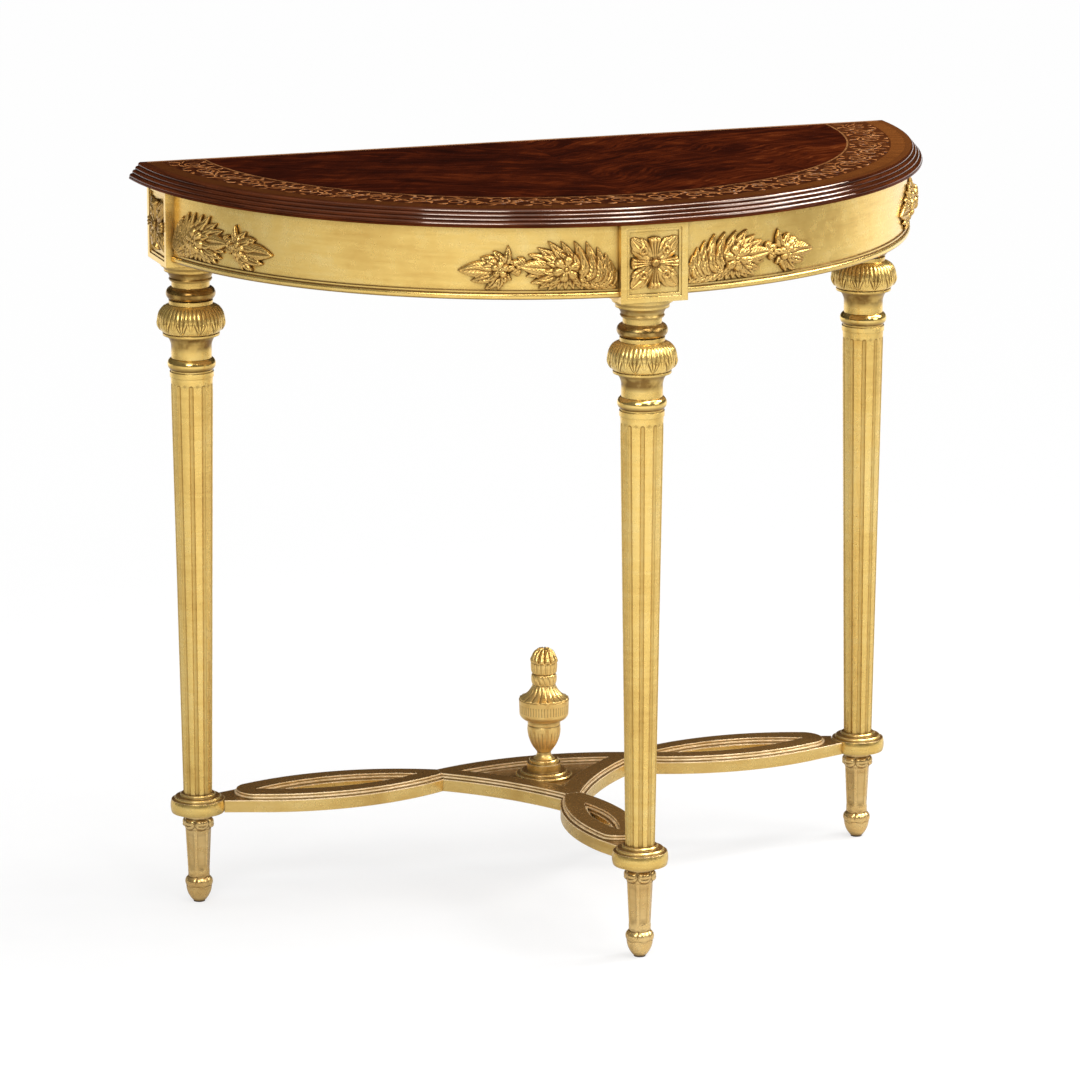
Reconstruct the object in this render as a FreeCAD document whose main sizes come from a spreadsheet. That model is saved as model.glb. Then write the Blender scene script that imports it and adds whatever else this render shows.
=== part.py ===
import FreeCAD, Part
import math
import operator
import os
import Sketcher
from FreeCAD import Placement, Rotation, Vector

# Demilune side table: a half-round veneered top on a gilded frieze, three turned and fluted legs, and
# a pierced stretcher of interlaced bands that carries an urn finial. Millimetres, +Z up. The origin is
# on the floor below the middle of the top's bounding box, and the straight wall side faces +Y.

SIZES = {
    # Overall
    "top_radius": 457,
    "table_height": 844,
    # Top
    "top_thickness": 18,
    "veneer_thickness": 1.5,
    "lipping_width": 6,
    "reed_fall": 14,
    "reed_inset": 0.6,
    "reed_bow": 1.2,
    "reed_quirk": 0.8,
    "moulding_flat": 6,
    "moulding_foot": 2,
    "crossband_width": 16,
    "marquetry_width": 48,
    "stringing_width": 2,
    # Frieze
    "top_overhang": 17,
    "rail_height": 80,
    "rail_thickness": 22,
    "bead_height": 7,
    "bead_projection": 4,
    "bead_round": 2.6,
    "bead_fillet_height": 3,
    "bead_fillet_projection": 1.6,
    "back_rail_thickness": 20,
    "bearer_width": 60,
    "bearer_height": 25,
    # Leg positions and blocks
    "rear_leg_setback": 52,
    "rear_block_proud": 0.5,
    "front_block_proud": 8,
    "block_width": 76,
    "block_height": 86,
    "panel_width": 62,
    "panel_height": 74,
    "panel_border": 3,
    "panel_step": 1.2,
    "panel_depth": 3,
    # Rosettes
    "rosette_leaf_reach": 40,
    "rosette_leaf_bow": 9.5,
    "rosette_leaf_relief": 6,
    "rosette_petal_reach": 26,
    "rosette_petal_bow": 6,
    "rosette_petal_relief": 4,
    "rosette_button_radius": 6.5,
    "rosette_button_relief": 8,
    # Sprays
    "spray_length": 172,
    "spray_height": 54,
    "spray_relief": 10,
    "spray_flower_radius": 14,
    "spray_flower_rise": 3,
    "spray_button_radius": 5,
    "spray_button_rise": 5,
    # Leg, from the block down to the stretcher
    "cap_radius": 33,
    "cap_height": 5,
    "cap_ring_radius": 29.4,
    "cap_ring_drop": 3.4,
    "cap_ring_height": 2.6,
    "cap_quirk": 1.8,
    "cove_height": 7,
    "cove_hollow": 0.6,
    "collar_radius": 24.3,
    "collar_bevel": 1,
    "collar_height": 4,
    "upper_neck_radius": 21.3,
    "upper_neck_height": 7,
    "torus_radius": 27.8,
    "torus_height": 15,
    "fillet_radius": 24.6,
    "fillet_height": 4.5,
    "bulb_radius": 36.4,
    "bulb_height": 32.4,
    "bulb_shoulder": 17.5,
    "bulb_upper_bow": 3.6,
    "bulb_lower_bow": 2.4,
    "bulb_foot_radius": 30.4,
    "bulb_ring_radius": 31.8,
    "bulb_ring_height": 2.6,
    "neck_flare_radius": 28.3,
    "neck_flare_height": 12,
    "neck_flare_hollow": 1.2,
    "lower_neck_radius": 22.6,
    "lower_neck_height": 26.2,
    "quirk_radius": 23.5,
    "quirk_height": 2,
    "ring_radius": 27.1,
    "ring_height": 13,
    "astragal_radius": 24.6,
    "astragal_height": 6,
    "shaft_top_radius": 23.7,
    "shaft_bottom_radius": 16.3,
    "flute_count": 10,
    "flute_radius": 2.9,
    "flute_depth": 1.8,
    "flute_top_margin": 10,
    "flute_bottom_margin": 1,
    "tenon_radius": 14,
    "tenon_length": 45,
    # Stretcher
    "stretcher_level": 106,
    "board_thickness": 14,
    "bead_step": 3,
    "bead_width": 2.5,
    "neck_width": 26,
    "side_loop_start": 46.5,
    "side_loop_lean": 14.5,
    "side_loop_half_width": 41,
    "side_joint_half_width": 8.5,
    "side_slot_half_width": 21.5,
    "side_slot_outer_margin": 10.4,
    "side_slot_inner_margin": 26.4,
    "front_loop_start": 43,
    "front_loop_lean": 17.5,
    "front_loop_half_width": 31,
    "front_joint_half_width": 8.7,
    "front_slot_half_width": 11,
    "front_slot_outer_margin": 12.6,
    "front_slot_inner_margin": 42.6,
    "loop_end_round": 12,
    "side_joint_reach": 115,
    "front_joint_reach": 135,
    "centre_back_bow": 21,
    "centre_front_hollow": 8.5,
    "well_side_reach": 90,
    "well_side_setback": 57,
    "well_front_setback": 157,
    "well_back_bow": 14,
    "well_front_hollow": 6,
    "well_side_taper": 2.4,
    "well_front_taper": 1.7,
    "floor_thickness": 13.6,
    # Bosses and feet
    "boss_radius": 31,
    "boss_height": 15,
    "boss_bulge": 1.2,
    "boss_step_radius": 26.5,
    "boss_step_height": 3.5,
    "boss_collar_radius": 20,
    "boss_collar_height": 3.5,
    "boss_bevel": 1.2,
    "spigot_radius": 8,
    "spigot_grip": 38,
    "foot_neck_radius": 15,
    "foot_lip_radius": 18.2,
    "foot_lip_drop": 12,
    "foot_lip_height": 6,
    "foot_top_radius": 15.3,
    "foot_ankle_radius": 12,
    "foot_bulb_radius": 15.2,
    "foot_bulb_height": 31,
    "foot_bulb_level": 20.5,
    "foot_bulb_lower_bow": 1.9,
    "foot_bulb_upper_bow": 2.4,
    "foot_tip_radius": 7,
    "foot_flute_count": 6,
    "foot_flute_radius": 12,
    "foot_flute_depth": 1.3,
    "foot_flute_margin": 7,
    "glide_radius": 6.5,
    "glide_height": 1.6,
    # Finial
    "finial_setback": 87,
    "finial_base_radius": 32.5,
    "finial_base_height": 4,
    "finial_ring_radius": 27,
    "finial_ring_height": 3.4,
    "finial_bevel": 1.2,
    "plinth_radius": 19.3,
    "plinth_height": 9,
    "plinth_cap_radius": 17,
    "plinth_cap_height": 5,
    "urn_foot_radius": 12.6,
    "urn_stem_radius": 8,
    "urn_stem_height": 8,
    "urn_stem_hollow": 1.5,
    "urn_cup_radius": 18.3,
    "urn_cup_height": 37.4,
    "urn_cup_bow": 4.4,
    "urn_drum_lower_radius": 28,
    "urn_drum_base_height": 7,
    "urn_drum_base_bow": 1.8,
    "urn_drum_radius": 28.8,
    "urn_drum_height": 17.6,
    "skirt_radius": 28,
    "skirt_lip": 2,
    "skirt_waist_radius": 14.2,
    "skirt_height": 17.6,
    "skirt_hollow": 2.7,
    "bundle_tie_radius": 15.4,
    "bundle_lower_height": 12.9,
    "bundle_lower_bow": 1,
    "bundle_upper_height": 24,
    "bundle_upper_bow": 1.8,
    "bundle_shoulder_radius": 15,
    "crown_height": 5.5,
    "crown_radius": 7.5,
    "crown_bow": 1.6,
    "finial_pin_radius": 4,
    "finial_pin_margin": 12,
    # Hidden fastenings
    "dowel_radius": 4,
    "dowel_length": 30,
    "dowel_margin": 20,
    "arm_dowel_radius": 3,
    "arm_dowel_length": 26,
    "glue_block_length": 45,
    "glue_block_depth": 28,
    "glue_block_bevel": 11,
    "screw_radius": 2,
    "screw_length": 36,
    "screw_head_radius": 4,
    "screw_head_height": 3,
    "bearer_screw_margin": 90,
    "seat_gap": 0.1,
}

REED_COUNT = 4
HALF_TURN = 180
QUARTER_TURN = 90
FULL_TURN = 360
PETAL_COUNT = 4
DIAGONAL = math.sqrt(0.5)
GLUE_BLOCK_ANGLES = (24, 52)
# Outline of a spray from the block to its tip, as shares of its length and height; the third number is
# the bow of the edge that leaves the corner, as a share of the height.
SPRAY_OUTLINE = (
    (0.00, 0.00, 0.00),
    (0.17, 0.02, 0.05),
    (0.36, 0.02, 0.05),
    (0.53, 0.18, 0.00),
    (0.64, 0.14, 0.05),
    (0.73, 0.14, 0.00),
    (0.79, 0.00, 0.04),
    (0.86, 0.20, 0.06),
    (1.00, 0.42, 0.05),
    (0.85, 0.62, 0.04),
    (0.74, 0.68, 0.04),
    (0.69, 0.94, 0.04),
    (0.64, 0.68, 0.06),
    (0.53, 0.56, 0.07),
    (0.42, 0.78, 0.07),
    (0.31, 0.96, 0.04),
    (0.19, 0.90, 0.07),
    (0.09, 0.62, 0.07),
    (0.00, 0.34, 0.00),
)
SPRAY_FLOWER = (0.24, 0.46)
OPERATIONS = {"+": operator.add, "-": operator.sub, "*": operator.mul, "/": operator.truediv}

doc = FreeCAD.newDocument("DemiluneTable")
sheet = doc.addObject("Spreadsheet::Sheet", "Sizes")
nodes = []


class Size:
    """A length that carries both its number and the sheet expression that gives it."""

    def __init__(self, value, text):
        self.value = float(value)
        self.text = text

    def __add__(self, other):
        return combine(self, "+", other)

    def __radd__(self, other):
        return combine(other, "+", self)

    def __sub__(self, other):
        return combine(self, "-", other)

    def __rsub__(self, other):
        return combine(other, "-", self)

    def __mul__(self, other):
        return combine(self, "*", other)

    def __rmul__(self, other):
        return combine(other, "*", self)

    def __truediv__(self, other):
        return combine(self, "/", other)

    def __neg__(self):
        return combine(-1, "*", self)


class Bow:
    """An arc given by its rise over the chord, outwards when the outline runs counter-clockwise."""

    def __init__(self, rise):
        self.rise = as_size(rise)

    def shape(self, chord_squared, side):
        sign = math.copysign(1, self.rise.value)
        rise = self.rise * sign
        radius = chord_squared / (8 * rise) + rise / 2
        return radius, rise.value - radius.value, sign * side


class Round:
    """An arc of less than a half circle given by its radius, outwards (1) or inwards (-1)."""

    def __init__(self, radius, way):
        self.radius = as_size(radius)
        self.way = way

    def shape(self, chord_squared, side):
        centre = -math.sqrt(self.radius.value ** 2 - chord_squared.value / 4)
        return self.radius, centre, self.way * side


def as_size(item):
    if isinstance(item, Size):
        return item
    return Size(item, "(%r)" % float(item))


def combine(left, sign, right):
    left = as_size(left)
    right = as_size(right)
    value = OPERATIONS[sign](left.value, right.value)
    return Size(value, "(%s %s %s)" % (left.text, sign, right.text))


def size(alias):
    return Size(SIZES[alias], "Sizes." + alias)


def root(item):
    return Size(math.sqrt(item.value), "sqrt(%s)" % item.text)


def leg_of(hypotenuse, side):
    """The other short side of a right triangle."""
    return root(hypotenuse * hypotenuse - side * side)


def fill_sheet():
    for row, (alias, value) in enumerate(SIZES.items(), start=1):
        sheet.set("A%d" % row, alias)
        sheet.set("B%d" % row, str(value))
        sheet.setAlias("B%d" % row, alias)
    doc.recompute()


# Sketch and feature helpers


def new_body(label):
    body = doc.addObject("PartDesign::Body", label)
    body.Label = label
    return body


def place(item, x, y, z, turn=0):
    """Put an object at a point given in sizes, turned about the vertical by whole degrees."""
    point = [as_size(value) for value in (x, y, z)]
    spin = Rotation(Vector(0, 0, 1), turn)
    item.Placement = Placement(Vector(*[value.value for value in point]), spin)
    for axis, value in zip("xyz", point):
        item.setExpression("Placement.Base." + axis, value.text)


def new_sketch(body, role, name, offset=0):
    plane = [item for item in body.Origin.OriginFeatures if item.Role == role][0]
    sketch = body.newObject("Sketcher::SketchObject", name)
    sketch.AttachmentSupport = [(plane, "")]
    sketch.MapMode = "FlatFace"
    offset = as_size(offset)
    sketch.AttachmentOffset = Placement(Vector(0, 0, offset.value), Rotation())
    sketch.setExpression("AttachmentOffset.Base.z", offset.text)
    return sketch


def fix_point(sketch, geometry, end, u, v):
    """Tie a point of the sketch to its distances from the origin."""
    for kind, value, axis in (("DistanceX", u, -2), ("DistanceY", v, -1)):
        if value.value == 0:
            sketch.addConstraint(Sketcher.Constraint("PointOnObject", geometry, end, axis))
        else:
            rule = Sketcher.Constraint(kind, -1, 1, geometry, end, value.value)
            index = sketch.addConstraint(rule)
            sketch.setExpression("Constraints[%d]" % index, value.text)


def fix_radius(sketch, geometry, radius):
    index = sketch.addConstraint(Sketcher.Constraint("Radius", geometry, radius.value))
    sketch.setExpression("Constraints[%d]" % index, radius.text)


def add_edge(sketch, start, end, curve, side):
    """Add one line or arc and say which of its ends is the start."""
    first = Vector(start[0].value, start[1].value, 0)
    last = Vector(end[0].value, end[1].value, 0)
    if curve is None:
        return sketch.addGeometry(Part.LineSegment(first, last), False), 1, 2
    across = end[0] - start[0]
    along = end[1] - start[1]
    radius, centre_rise, way = curve.shape(across * across + along * along, side)
    chord = last - first
    outward = Vector(chord.y, -chord.x, 0).normalize() * way
    centre = (first + last) * 0.5 + outward * centre_rise
    begin, finish = (first, last) if way > 0 else (last, first)
    opening = math.atan2(begin.y - centre.y, begin.x - centre.x)
    closing = math.atan2(finish.y - centre.y, finish.x - centre.x)
    if closing <= opening:
        closing += 2 * math.pi
    circle = Part.Circle(centre, Vector(0, 0, 1), radius.value)
    geometry = sketch.addGeometry(Part.ArcOfCircle(circle, opening, closing), False)
    fix_radius(sketch, geometry, radius)
    if way > 0:
        return geometry, 1, 2
    return geometry, 2, 1


def add_outline(sketch, corners, side=1):
    """Add a closed outline; a corner's third entry is the curve of the edge that leaves it."""
    points = [(as_size(item[0]) * side, as_size(item[1])) for item in corners]
    curves = [item[2] if len(item) > 2 else None for item in corners]
    edges = []
    for index, start in enumerate(points):
        end = points[(index + 1) % len(points)]
        edges.append(add_edge(sketch, start, end, curves[index], side))
    for index, edge in enumerate(edges):
        following = edges[(index + 1) % len(edges)]
        rule = Sketcher.Constraint("Coincident", edge[0], edge[2], following[0], following[1])
        sketch.addConstraint(rule)
    for edge, point in zip(edges, points):
        fix_point(sketch, edge[0], edge[1], *point)


def add_circle(sketch, u, v, radius):
    u = as_size(u)
    v = as_size(v)
    circle = Part.Circle(Vector(u.value, v.value, 0), Vector(0, 0, 1), radius.value)
    geometry = sketch.addGeometry(circle, False)
    fix_radius(sketch, geometry, radius)
    fix_point(sketch, geometry, 3, u, v)


def pad(body, sketch, length, name):
    feature = body.newObject("PartDesign::Pad", name)
    feature.Profile = sketch
    feature.setExpression("Length", as_size(length).text)
    doc.recompute()
    return feature


def pocket(body, sketch, length, name, turned=False):
    """Cut a sketch into the body, through everything where no length is given."""
    before = body.Shape.Volume
    feature = body.newObject("PartDesign::Pocket", name)
    feature.Profile = sketch
    feature.Reversed = turned
    if length is None:
        feature.Type = "ThroughAll"
    else:
        feature.setExpression("Length", as_size(length).text)
    doc.recompute()
    if body.Shape.Volume >= before:
        raise RuntimeError("%s of %s cuts nothing" % (name, body.Label))
    return feature


def revolve(body, sketch, name, angle=FULL_TURN, turned=False):
    feature = body.newObject("PartDesign::Revolution", name)
    feature.Profile = sketch
    feature.ReferenceAxis = (sketch, ["V_Axis"])
    feature.Angle = angle
    feature.Reversed = turned
    doc.recompute()
    return feature


def polar_pattern(body, feature, axis, alias, count, name):
    """Repeat a feature round an axis; the count comes from the sheet where it has an alias."""
    pattern = body.newObject("PartDesign::PolarPattern", name)
    pattern.Originals = [feature]
    pattern.Axis = axis
    pattern.Angle = FULL_TURN
    pattern.Occurrences = count
    if alias:
        pattern.setExpression("Occurrences", "Sizes." + alias)
    body.Tip = pattern
    doc.recompute()
    return pattern


def round_edges(body, feature, radius, test, name):
    """Round every edge of the last feature that passes the test."""
    names = []
    for index, edge in enumerate(feature.Shape.Edges, start=1):
        if test(edge):
            names.append("Edge%d" % index)
    fillet = body.newObject("PartDesign::Fillet", name)
    fillet.Base = (feature, names)
    fillet.setExpression("Radius", radius.text)
    doc.recompute()
    return fillet


def keep(item):
    nodes.append(item)
    return item


def turned_body(label, corners):
    """A piece turned about its vertical axis, from the half section in the XZ plane."""
    body = new_body(label)
    sketch = new_sketch(body, "XZ_Plane", label + "_section")
    add_outline(sketch, corners)
    revolve(body, sketch, label + "_turning")
    return body


def group(label, members):
    compound = doc.addObject("Part::Compound", label)
    compound.Label = label
    compound.Links = members
    return keep(compound)


def cylinder(name, radius, height, x, y, z, axis=Vector(0, 0, 1)):
    """A pin along an axis from a point given in sizes."""
    item = doc.addObject("Part::Cylinder", name)
    item.setExpression("Radius", as_size(radius).text)
    item.setExpression("Height", as_size(height).text)
    place(item, x, y, z)
    item.Placement = Placement(item.Placement.Base, Rotation(Vector(0, 0, 1), axis))
    return item


# Places that several pieces share

fill_sheet()
seat = size("seat_gap")
back = size("top_radius") / 2
top_level = size("table_height") - size("top_thickness")
rail_level = top_level - size("rail_height")
block_level = top_level - size("block_height")
half_block = size("block_width") / 2
frieze_radius = size("top_radius") - size("top_overhang")
rear_x = frieze_radius + size("rear_block_proud") - half_block
rear_y = back - size("rear_leg_setback")
front_reach = frieze_radius + size("front_block_proud") - half_block
front_y = back - front_reach
core_radius = size("top_radius") - size("reed_fall") - size("moulding_flat")
rail_inner = frieze_radius - size("rail_thickness")
rail_middle = frieze_radius - size("rail_thickness") / 2
rail_end = size("rear_leg_setback") + half_block
board_level = size("stretcher_level")
arm_reach = {
    "side": rear_x - size("side_joint_reach"),
    "front": rear_y - size("front_joint_reach") - front_y,
}
bead_total = size("bead_width") * 2
boss_total = size("boss_height") + size("boss_step_height") + size("boss_collar_height")
leg_level = board_level + boss_total
half_dowel = size("dowel_length") / 2
dowel_heights = (size("dowel_margin"), size("rail_height") - size("dowel_margin"))
dowel_bore = size("dowel_radius") + seat
arm_dowel_bore = size("arm_dowel_radius") + seat
arm_dowel_level = size("board_thickness") / 2
back_rail_middle = rear_y + half_block - size("back_rail_thickness") / 2
back_rail_front = rear_y + half_block - size("back_rail_thickness")
screw_grip = size("screw_length") - size("bearer_height")
legs = (
    ("left", -rear_x, rear_y),
    ("front", as_size(0), front_y),
    ("right", rear_x, rear_y),
)


# Top


def half_band(body, name, inner, outer, level, thickness):
    """Pad a half ring, or a half disc where there is no inner radius, in front of the lipping."""
    chord = size("lipping_width")
    wide = leg_of(outer, chord)
    corners = [(-wide, -chord, Bow(outer - chord)), (wide, -chord)]
    if inner is not None:
        narrow = leg_of(inner, chord)
        corners += [(narrow, -chord, Bow(chord - inner)), (-narrow, -chord)]
    sketch = new_sketch(body, "XY_Plane", name + "_plan")
    add_outline(sketch, corners)
    pad(body, sketch, thickness, name + "_board")
    place(body, 0, back, level)
    return keep(body)


def screw_places():
    """Screw positions relative to the middle of the back edge."""
    reach = rail_inner - size("glue_block_depth") / 2
    places = []
    for side in (-1, 1):
        for angle in GLUE_BLOCK_ANGLES:
            turn = math.radians(angle)
            places.append((reach * (side * math.sin(turn)), -reach * math.cos(turn)))
    rear = back_rail_front - size("bearer_screw_margin") - back
    fore = front_y + half_block + size("bearer_screw_margin") - back
    places.append((as_size(0), rear))
    places.append((as_size(0), fore))
    return places


def make_top():
    thickness = size("top_thickness")
    veneer = size("veneer_thickness")
    core = new_body("top_core")
    half_band(core, "core", None, core_radius, top_level, thickness - veneer)
    holes = new_sketch(core, "XY_Plane", "pilot_holes")
    for x, y in screw_places():
        add_circle(holes, x, y, size("screw_radius") + seat)
    pocket(core, holes, screw_grip + seat, "pilot_drilling", turned=True)

    veneer_level = top_level + thickness - veneer
    outer = core_radius
    for label, alias in (
        ("top_crossband", "crossband_width"),
        ("top_marquetry_band", "marquetry_width"),
        ("top_stringing", "stringing_width"),
    ):
        inner = outer - size(alias)
        half_band(new_body(label), label, inner, outer, veneer_level, veneer)
        outer = inner
    half_band(new_body("top_field_veneer"), "field", None, outer, veneer_level, veneer)

    lipping = new_body("top_back_lipping")
    end = leg_of(core_radius, size("lipping_width"))
    sketch = new_sketch(lipping, "XY_Plane", "lipping_plan")
    corners = [(-end, -size("lipping_width")), (end, -size("lipping_width")), (end, 0), (-end, 0)]
    add_outline(sketch, corners)
    pad(lipping, sketch, thickness, "lipping_strip")
    place(lipping, 0, back, top_level)
    keep(lipping)


def make_edge_moulding():
    """Reeds step inwards and upwards from a plain foot to the flat of the top."""
    outer = size("top_radius") - size("reed_inset")
    foot = size("moulding_foot")
    step_in = (size("reed_fall") - size("reed_inset")) / REED_COUNT
    step_up = (size("top_thickness") - foot) / REED_COUNT
    corners = [(core_radius, 0), (size("top_radius"), 0), (size("top_radius"), foot)]
    for index in range(REED_COUNT):
        corners.append((outer - step_in * index, foot + step_up * index, Bow(size("reed_bow"))))
        quirk = outer - step_in * (index + 1) + size("reed_quirk")
        corners.append((quirk, foot + step_up * (index + 1)))
    corners.append((core_radius, size("top_thickness")))
    body = new_body("top_edge_moulding")
    sketch = new_sketch(body, "XZ_Plane", "reeded_section")
    add_outline(sketch, corners)
    revolve(body, sketch, "reeded_edge", angle=HALF_TURN, turned=True)
    place(body, 0, back, top_level)
    keep(body)


# Frieze


def curved_plan(sketch, inner, outer, side):
    """Ring sector between the front block's side and the rear block's front face."""
    corners = [
        (half_block, -leg_of(outer, half_block), Round(outer, 1)),
        (leg_of(outer, rail_end), -rail_end),
        (leg_of(inner, rail_end), -rail_end, Round(inner, -1)),
        (half_block, -leg_of(inner, half_block)),
    ]
    add_outline(sketch, corners, side)


def make_curved_rail(label, side):
    body = new_body(label)
    plan = new_sketch(body, "XY_Plane", label + "_plan")
    curved_plan(plan, rail_inner, frieze_radius, side)
    pad(body, plan, size("rail_height"), label + "_board")
    fore = new_sketch(body, "YZ_Plane", label + "_fore_holes", half_block * side)
    rear = new_sketch(body, "XZ_Plane", label + "_rear_holes", rail_end)
    for height in dowel_heights:
        add_circle(fore, -leg_of(rail_middle, half_block), height, dowel_bore)
        add_circle(rear, leg_of(rail_middle, rail_end) * side, height, dowel_bore)
    pocket(body, fore, half_dowel + seat, label + "_fore_drilling", turned=side > 0)
    pocket(body, rear, half_dowel + seat, label + "_rear_drilling", turned=True)
    place(body, 0, back, rail_level)
    keep(body)


def make_frieze_bead(label, side):
    """Half-round strip under a thin fillet, planted on the lower edge of a curved rail."""
    inner = frieze_radius + seat
    outer = frieze_radius + size("bead_projection")
    body = new_body(label)
    plan = new_sketch(body, "XY_Plane", label + "_plan")
    curved_plan(plan, inner, outer, side)
    strip = pad(body, plan, size("bead_height"), label + "_strip")

    def outer_arc(edge):
        return isinstance(edge.Curve, Part.Circle) and edge.Curve.Radius > outer.value - seat.value

    round_edges(body, strip, size("bead_round"), outer_arc, label + "_rounding")
    fillet = new_sketch(body, "XY_Plane", label + "_fillet_plan", size("bead_height"))
    curved_plan(fillet, inner, frieze_radius + size("bead_fillet_projection"), side)
    pad(body, fillet, size("bead_fillet_height"), label + "_fillet")
    place(body, 0, back, rail_level)
    keep(body)


def make_straight_rails():
    rail = new_body("back_rail")
    inner_end = rear_x - half_block
    half = size("back_rail_thickness") / 2
    plan = new_sketch(rail, "XY_Plane", "back_rail_plan")
    add_outline(plan, [(-inner_end, -half), (inner_end, -half), (inner_end, half), (-inner_end, half)])
    pad(rail, plan, size("rail_height"), "back_rail_board")
    for side, name in ((-1, "left"), (1, "right")):
        holes = new_sketch(rail, "YZ_Plane", "back_rail_%s_holes" % name, inner_end * side)
        for height in dowel_heights:
            add_circle(holes, 0, height, dowel_bore)
        pocket(rail, holes, half_dowel + seat, "back_rail_%s_drilling" % name, turned=side < 0)
    holes = new_sketch(rail, "XZ_Plane", "bearer_holes", half)
    for x in bearer_dowel_places():
        add_circle(holes, x, size("rail_height") - size("bearer_height") / 2, dowel_bore)
    pocket(rail, holes, half_dowel + seat, "bearer_drilling")
    place(rail, 0, back_rail_middle, rail_level)
    keep(rail)

    bearer = new_body("centre_bearer")
    length = back_rail_front - front_y - half_block
    half = size("bearer_width") / 2
    plan = new_sketch(bearer, "XY_Plane", "bearer_plan")
    add_outline(plan, [(-half, -length), (half, -length), (half, 0), (-half, 0)])
    pad(bearer, plan, size("bearer_height"), "bearer_board")
    for name, reach, turned in (("rear", as_size(0), True), ("fore", length, False)):
        ends = new_sketch(bearer, "XZ_Plane", "bearer_%s_holes" % name, reach)
        for x in bearer_dowel_places():
            add_circle(ends, x, size("bearer_height") / 2, dowel_bore)
        pocket(bearer, ends, half_dowel + seat, "bearer_%s_drilling" % name, turned=turned)
    shanks = new_sketch(bearer, "XY_Plane", "bearer_screw_holes")
    heads = new_sketch(bearer, "XY_Plane", "bearer_head_holes")
    for x, y in screw_places()[-2:]:
        add_circle(shanks, x, y + back - back_rail_front, size("screw_radius") + seat)
        add_circle(heads, x, y + back - back_rail_front, size("screw_head_radius") + seat)
    pocket(bearer, shanks, None, "bearer_screw_drilling", turned=True)
    pocket(bearer, heads, size("screw_head_height") + seat, "bearer_head_sinking", turned=True)
    place(bearer, 0, back_rail_front, top_level - size("bearer_height"))
    keep(bearer)


def bearer_dowel_places():
    offset = size("bearer_width") / 2 - size("dowel_margin") / 2
    return (-offset, offset)


# Leg blocks and carved ornament


def drill_face(body, face, offset, heights):
    """Blind dowel holes in a side of a block, at an offset along that side."""
    role, level, turned = {
        "left": ("YZ_Plane", -half_block, True),
        "right": ("YZ_Plane", half_block, False),
        "back": ("XZ_Plane", -half_block, True),
    }[face]
    name = "%s_%s_holes" % (body.Label, face)
    holes = new_sketch(body, role, name, level)
    for height in heights:
        for place_along in offset:
            add_circle(holes, place_along, height, dowel_bore)
    pocket(body, holes, half_dowel + seat, name + "_drilling", turned=turned)


def make_block(label, x, y, turn, holes):
    body = new_body(label)
    plan = new_sketch(body, "XY_Plane", label + "_plan")
    corners = [(-half_block, -half_block), (half_block, -half_block)]
    corners += [(half_block, half_block), (-half_block, half_block)]
    add_outline(plan, corners)
    pad(body, plan, size("block_height"), label + "_post")
    middle = size("block_height") / 2
    for name, shrink, depth in (
        ("border", as_size(0), size("panel_step")),
        ("field", size("panel_border"), size("panel_depth")),
    ):
        half_width = size("panel_width") / 2 - shrink
        half_height = size("panel_height") / 2 - shrink
        low = middle - half_height
        high = middle + half_height
        panel = new_sketch(body, "XZ_Plane", "%s_%s" % (label, name), half_block)
        add_outline(panel, [(-half_width, low), (half_width, low), (half_width, high), (-half_width, high)])
        pocket(body, panel, depth, "%s_%s_sinking" % (label, name))
    mortise = new_sketch(body, "XY_Plane", label + "_mortise")
    add_circle(mortise, 0, 0, size("tenon_radius") + seat)
    pocket(body, mortise, size("tenon_length") + seat, label + "_mortising", turned=True)
    for face, offset, heights in holes:
        drill_face(body, face, offset, heights)
    place(body, x, y, block_level, turn)
    keep(body)


def make_blocks():
    lift = size("block_height") - size("rail_height")
    heights = [lift + height for height in dowel_heights]
    bearer_height = [size("block_height") - size("bearer_height") / 2]
    rear_offset = rear_x - leg_of(rail_middle, rail_end)
    fore_offset = front_reach - leg_of(rail_middle, half_block)
    back_offset = back_rail_middle - rear_y
    make_block("leg_block_left", -rear_x, rear_y, -QUARTER_TURN, [
        ("right", [rear_offset], heights), ("back", [-back_offset], heights)])
    make_block("leg_block_front", 0, front_y, 0, [
        ("left", [fore_offset], heights), ("right", [fore_offset], heights),
        ("back", bearer_dowel_places(), bearer_height)])
    make_block("leg_block_right", rear_x, rear_y, QUARTER_TURN, [
        ("left", [rear_offset], heights), ("back", [back_offset], heights)])


def make_rosette(label, x, y, turn):
    """Four pointed diagonal leaves, four short petals and a button, facing -Y before the turn."""
    body = new_body(label)
    reach = size("rosette_leaf_reach") * DIAGONAL
    bow = Bow(size("rosette_leaf_bow"))
    leaf = new_sketch(body, "XZ_Plane", label + "_leaf")
    add_outline(leaf, [(0, 0, bow), (reach, reach, bow)])
    leaf_pad = pad(body, leaf, size("rosette_leaf_relief"), label + "_leaf_relief")
    polar_pattern(body, leaf_pad, (leaf, ["N_Axis"]), None, PETAL_COUNT, label + "_leaves")
    bow = Bow(size("rosette_petal_bow"))
    petal = new_sketch(body, "XZ_Plane", label + "_petal")
    add_outline(petal, [(0, 0, bow), (size("rosette_petal_reach"), 0, bow)])
    petal_pad = pad(body, petal, size("rosette_petal_relief"), label + "_petal_relief")
    polar_pattern(body, petal_pad, (petal, ["N_Axis"]), None, PETAL_COUNT, label + "_petals")
    button = new_sketch(body, "XZ_Plane", label + "_button")
    add_circle(button, 0, 0, size("rosette_button_radius"))
    body.Tip = pad(body, button, size("rosette_button_relief"), label + "_button_relief")
    place(body, x, y, block_level + size("block_height") / 2, turn)
    keep(body)


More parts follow.
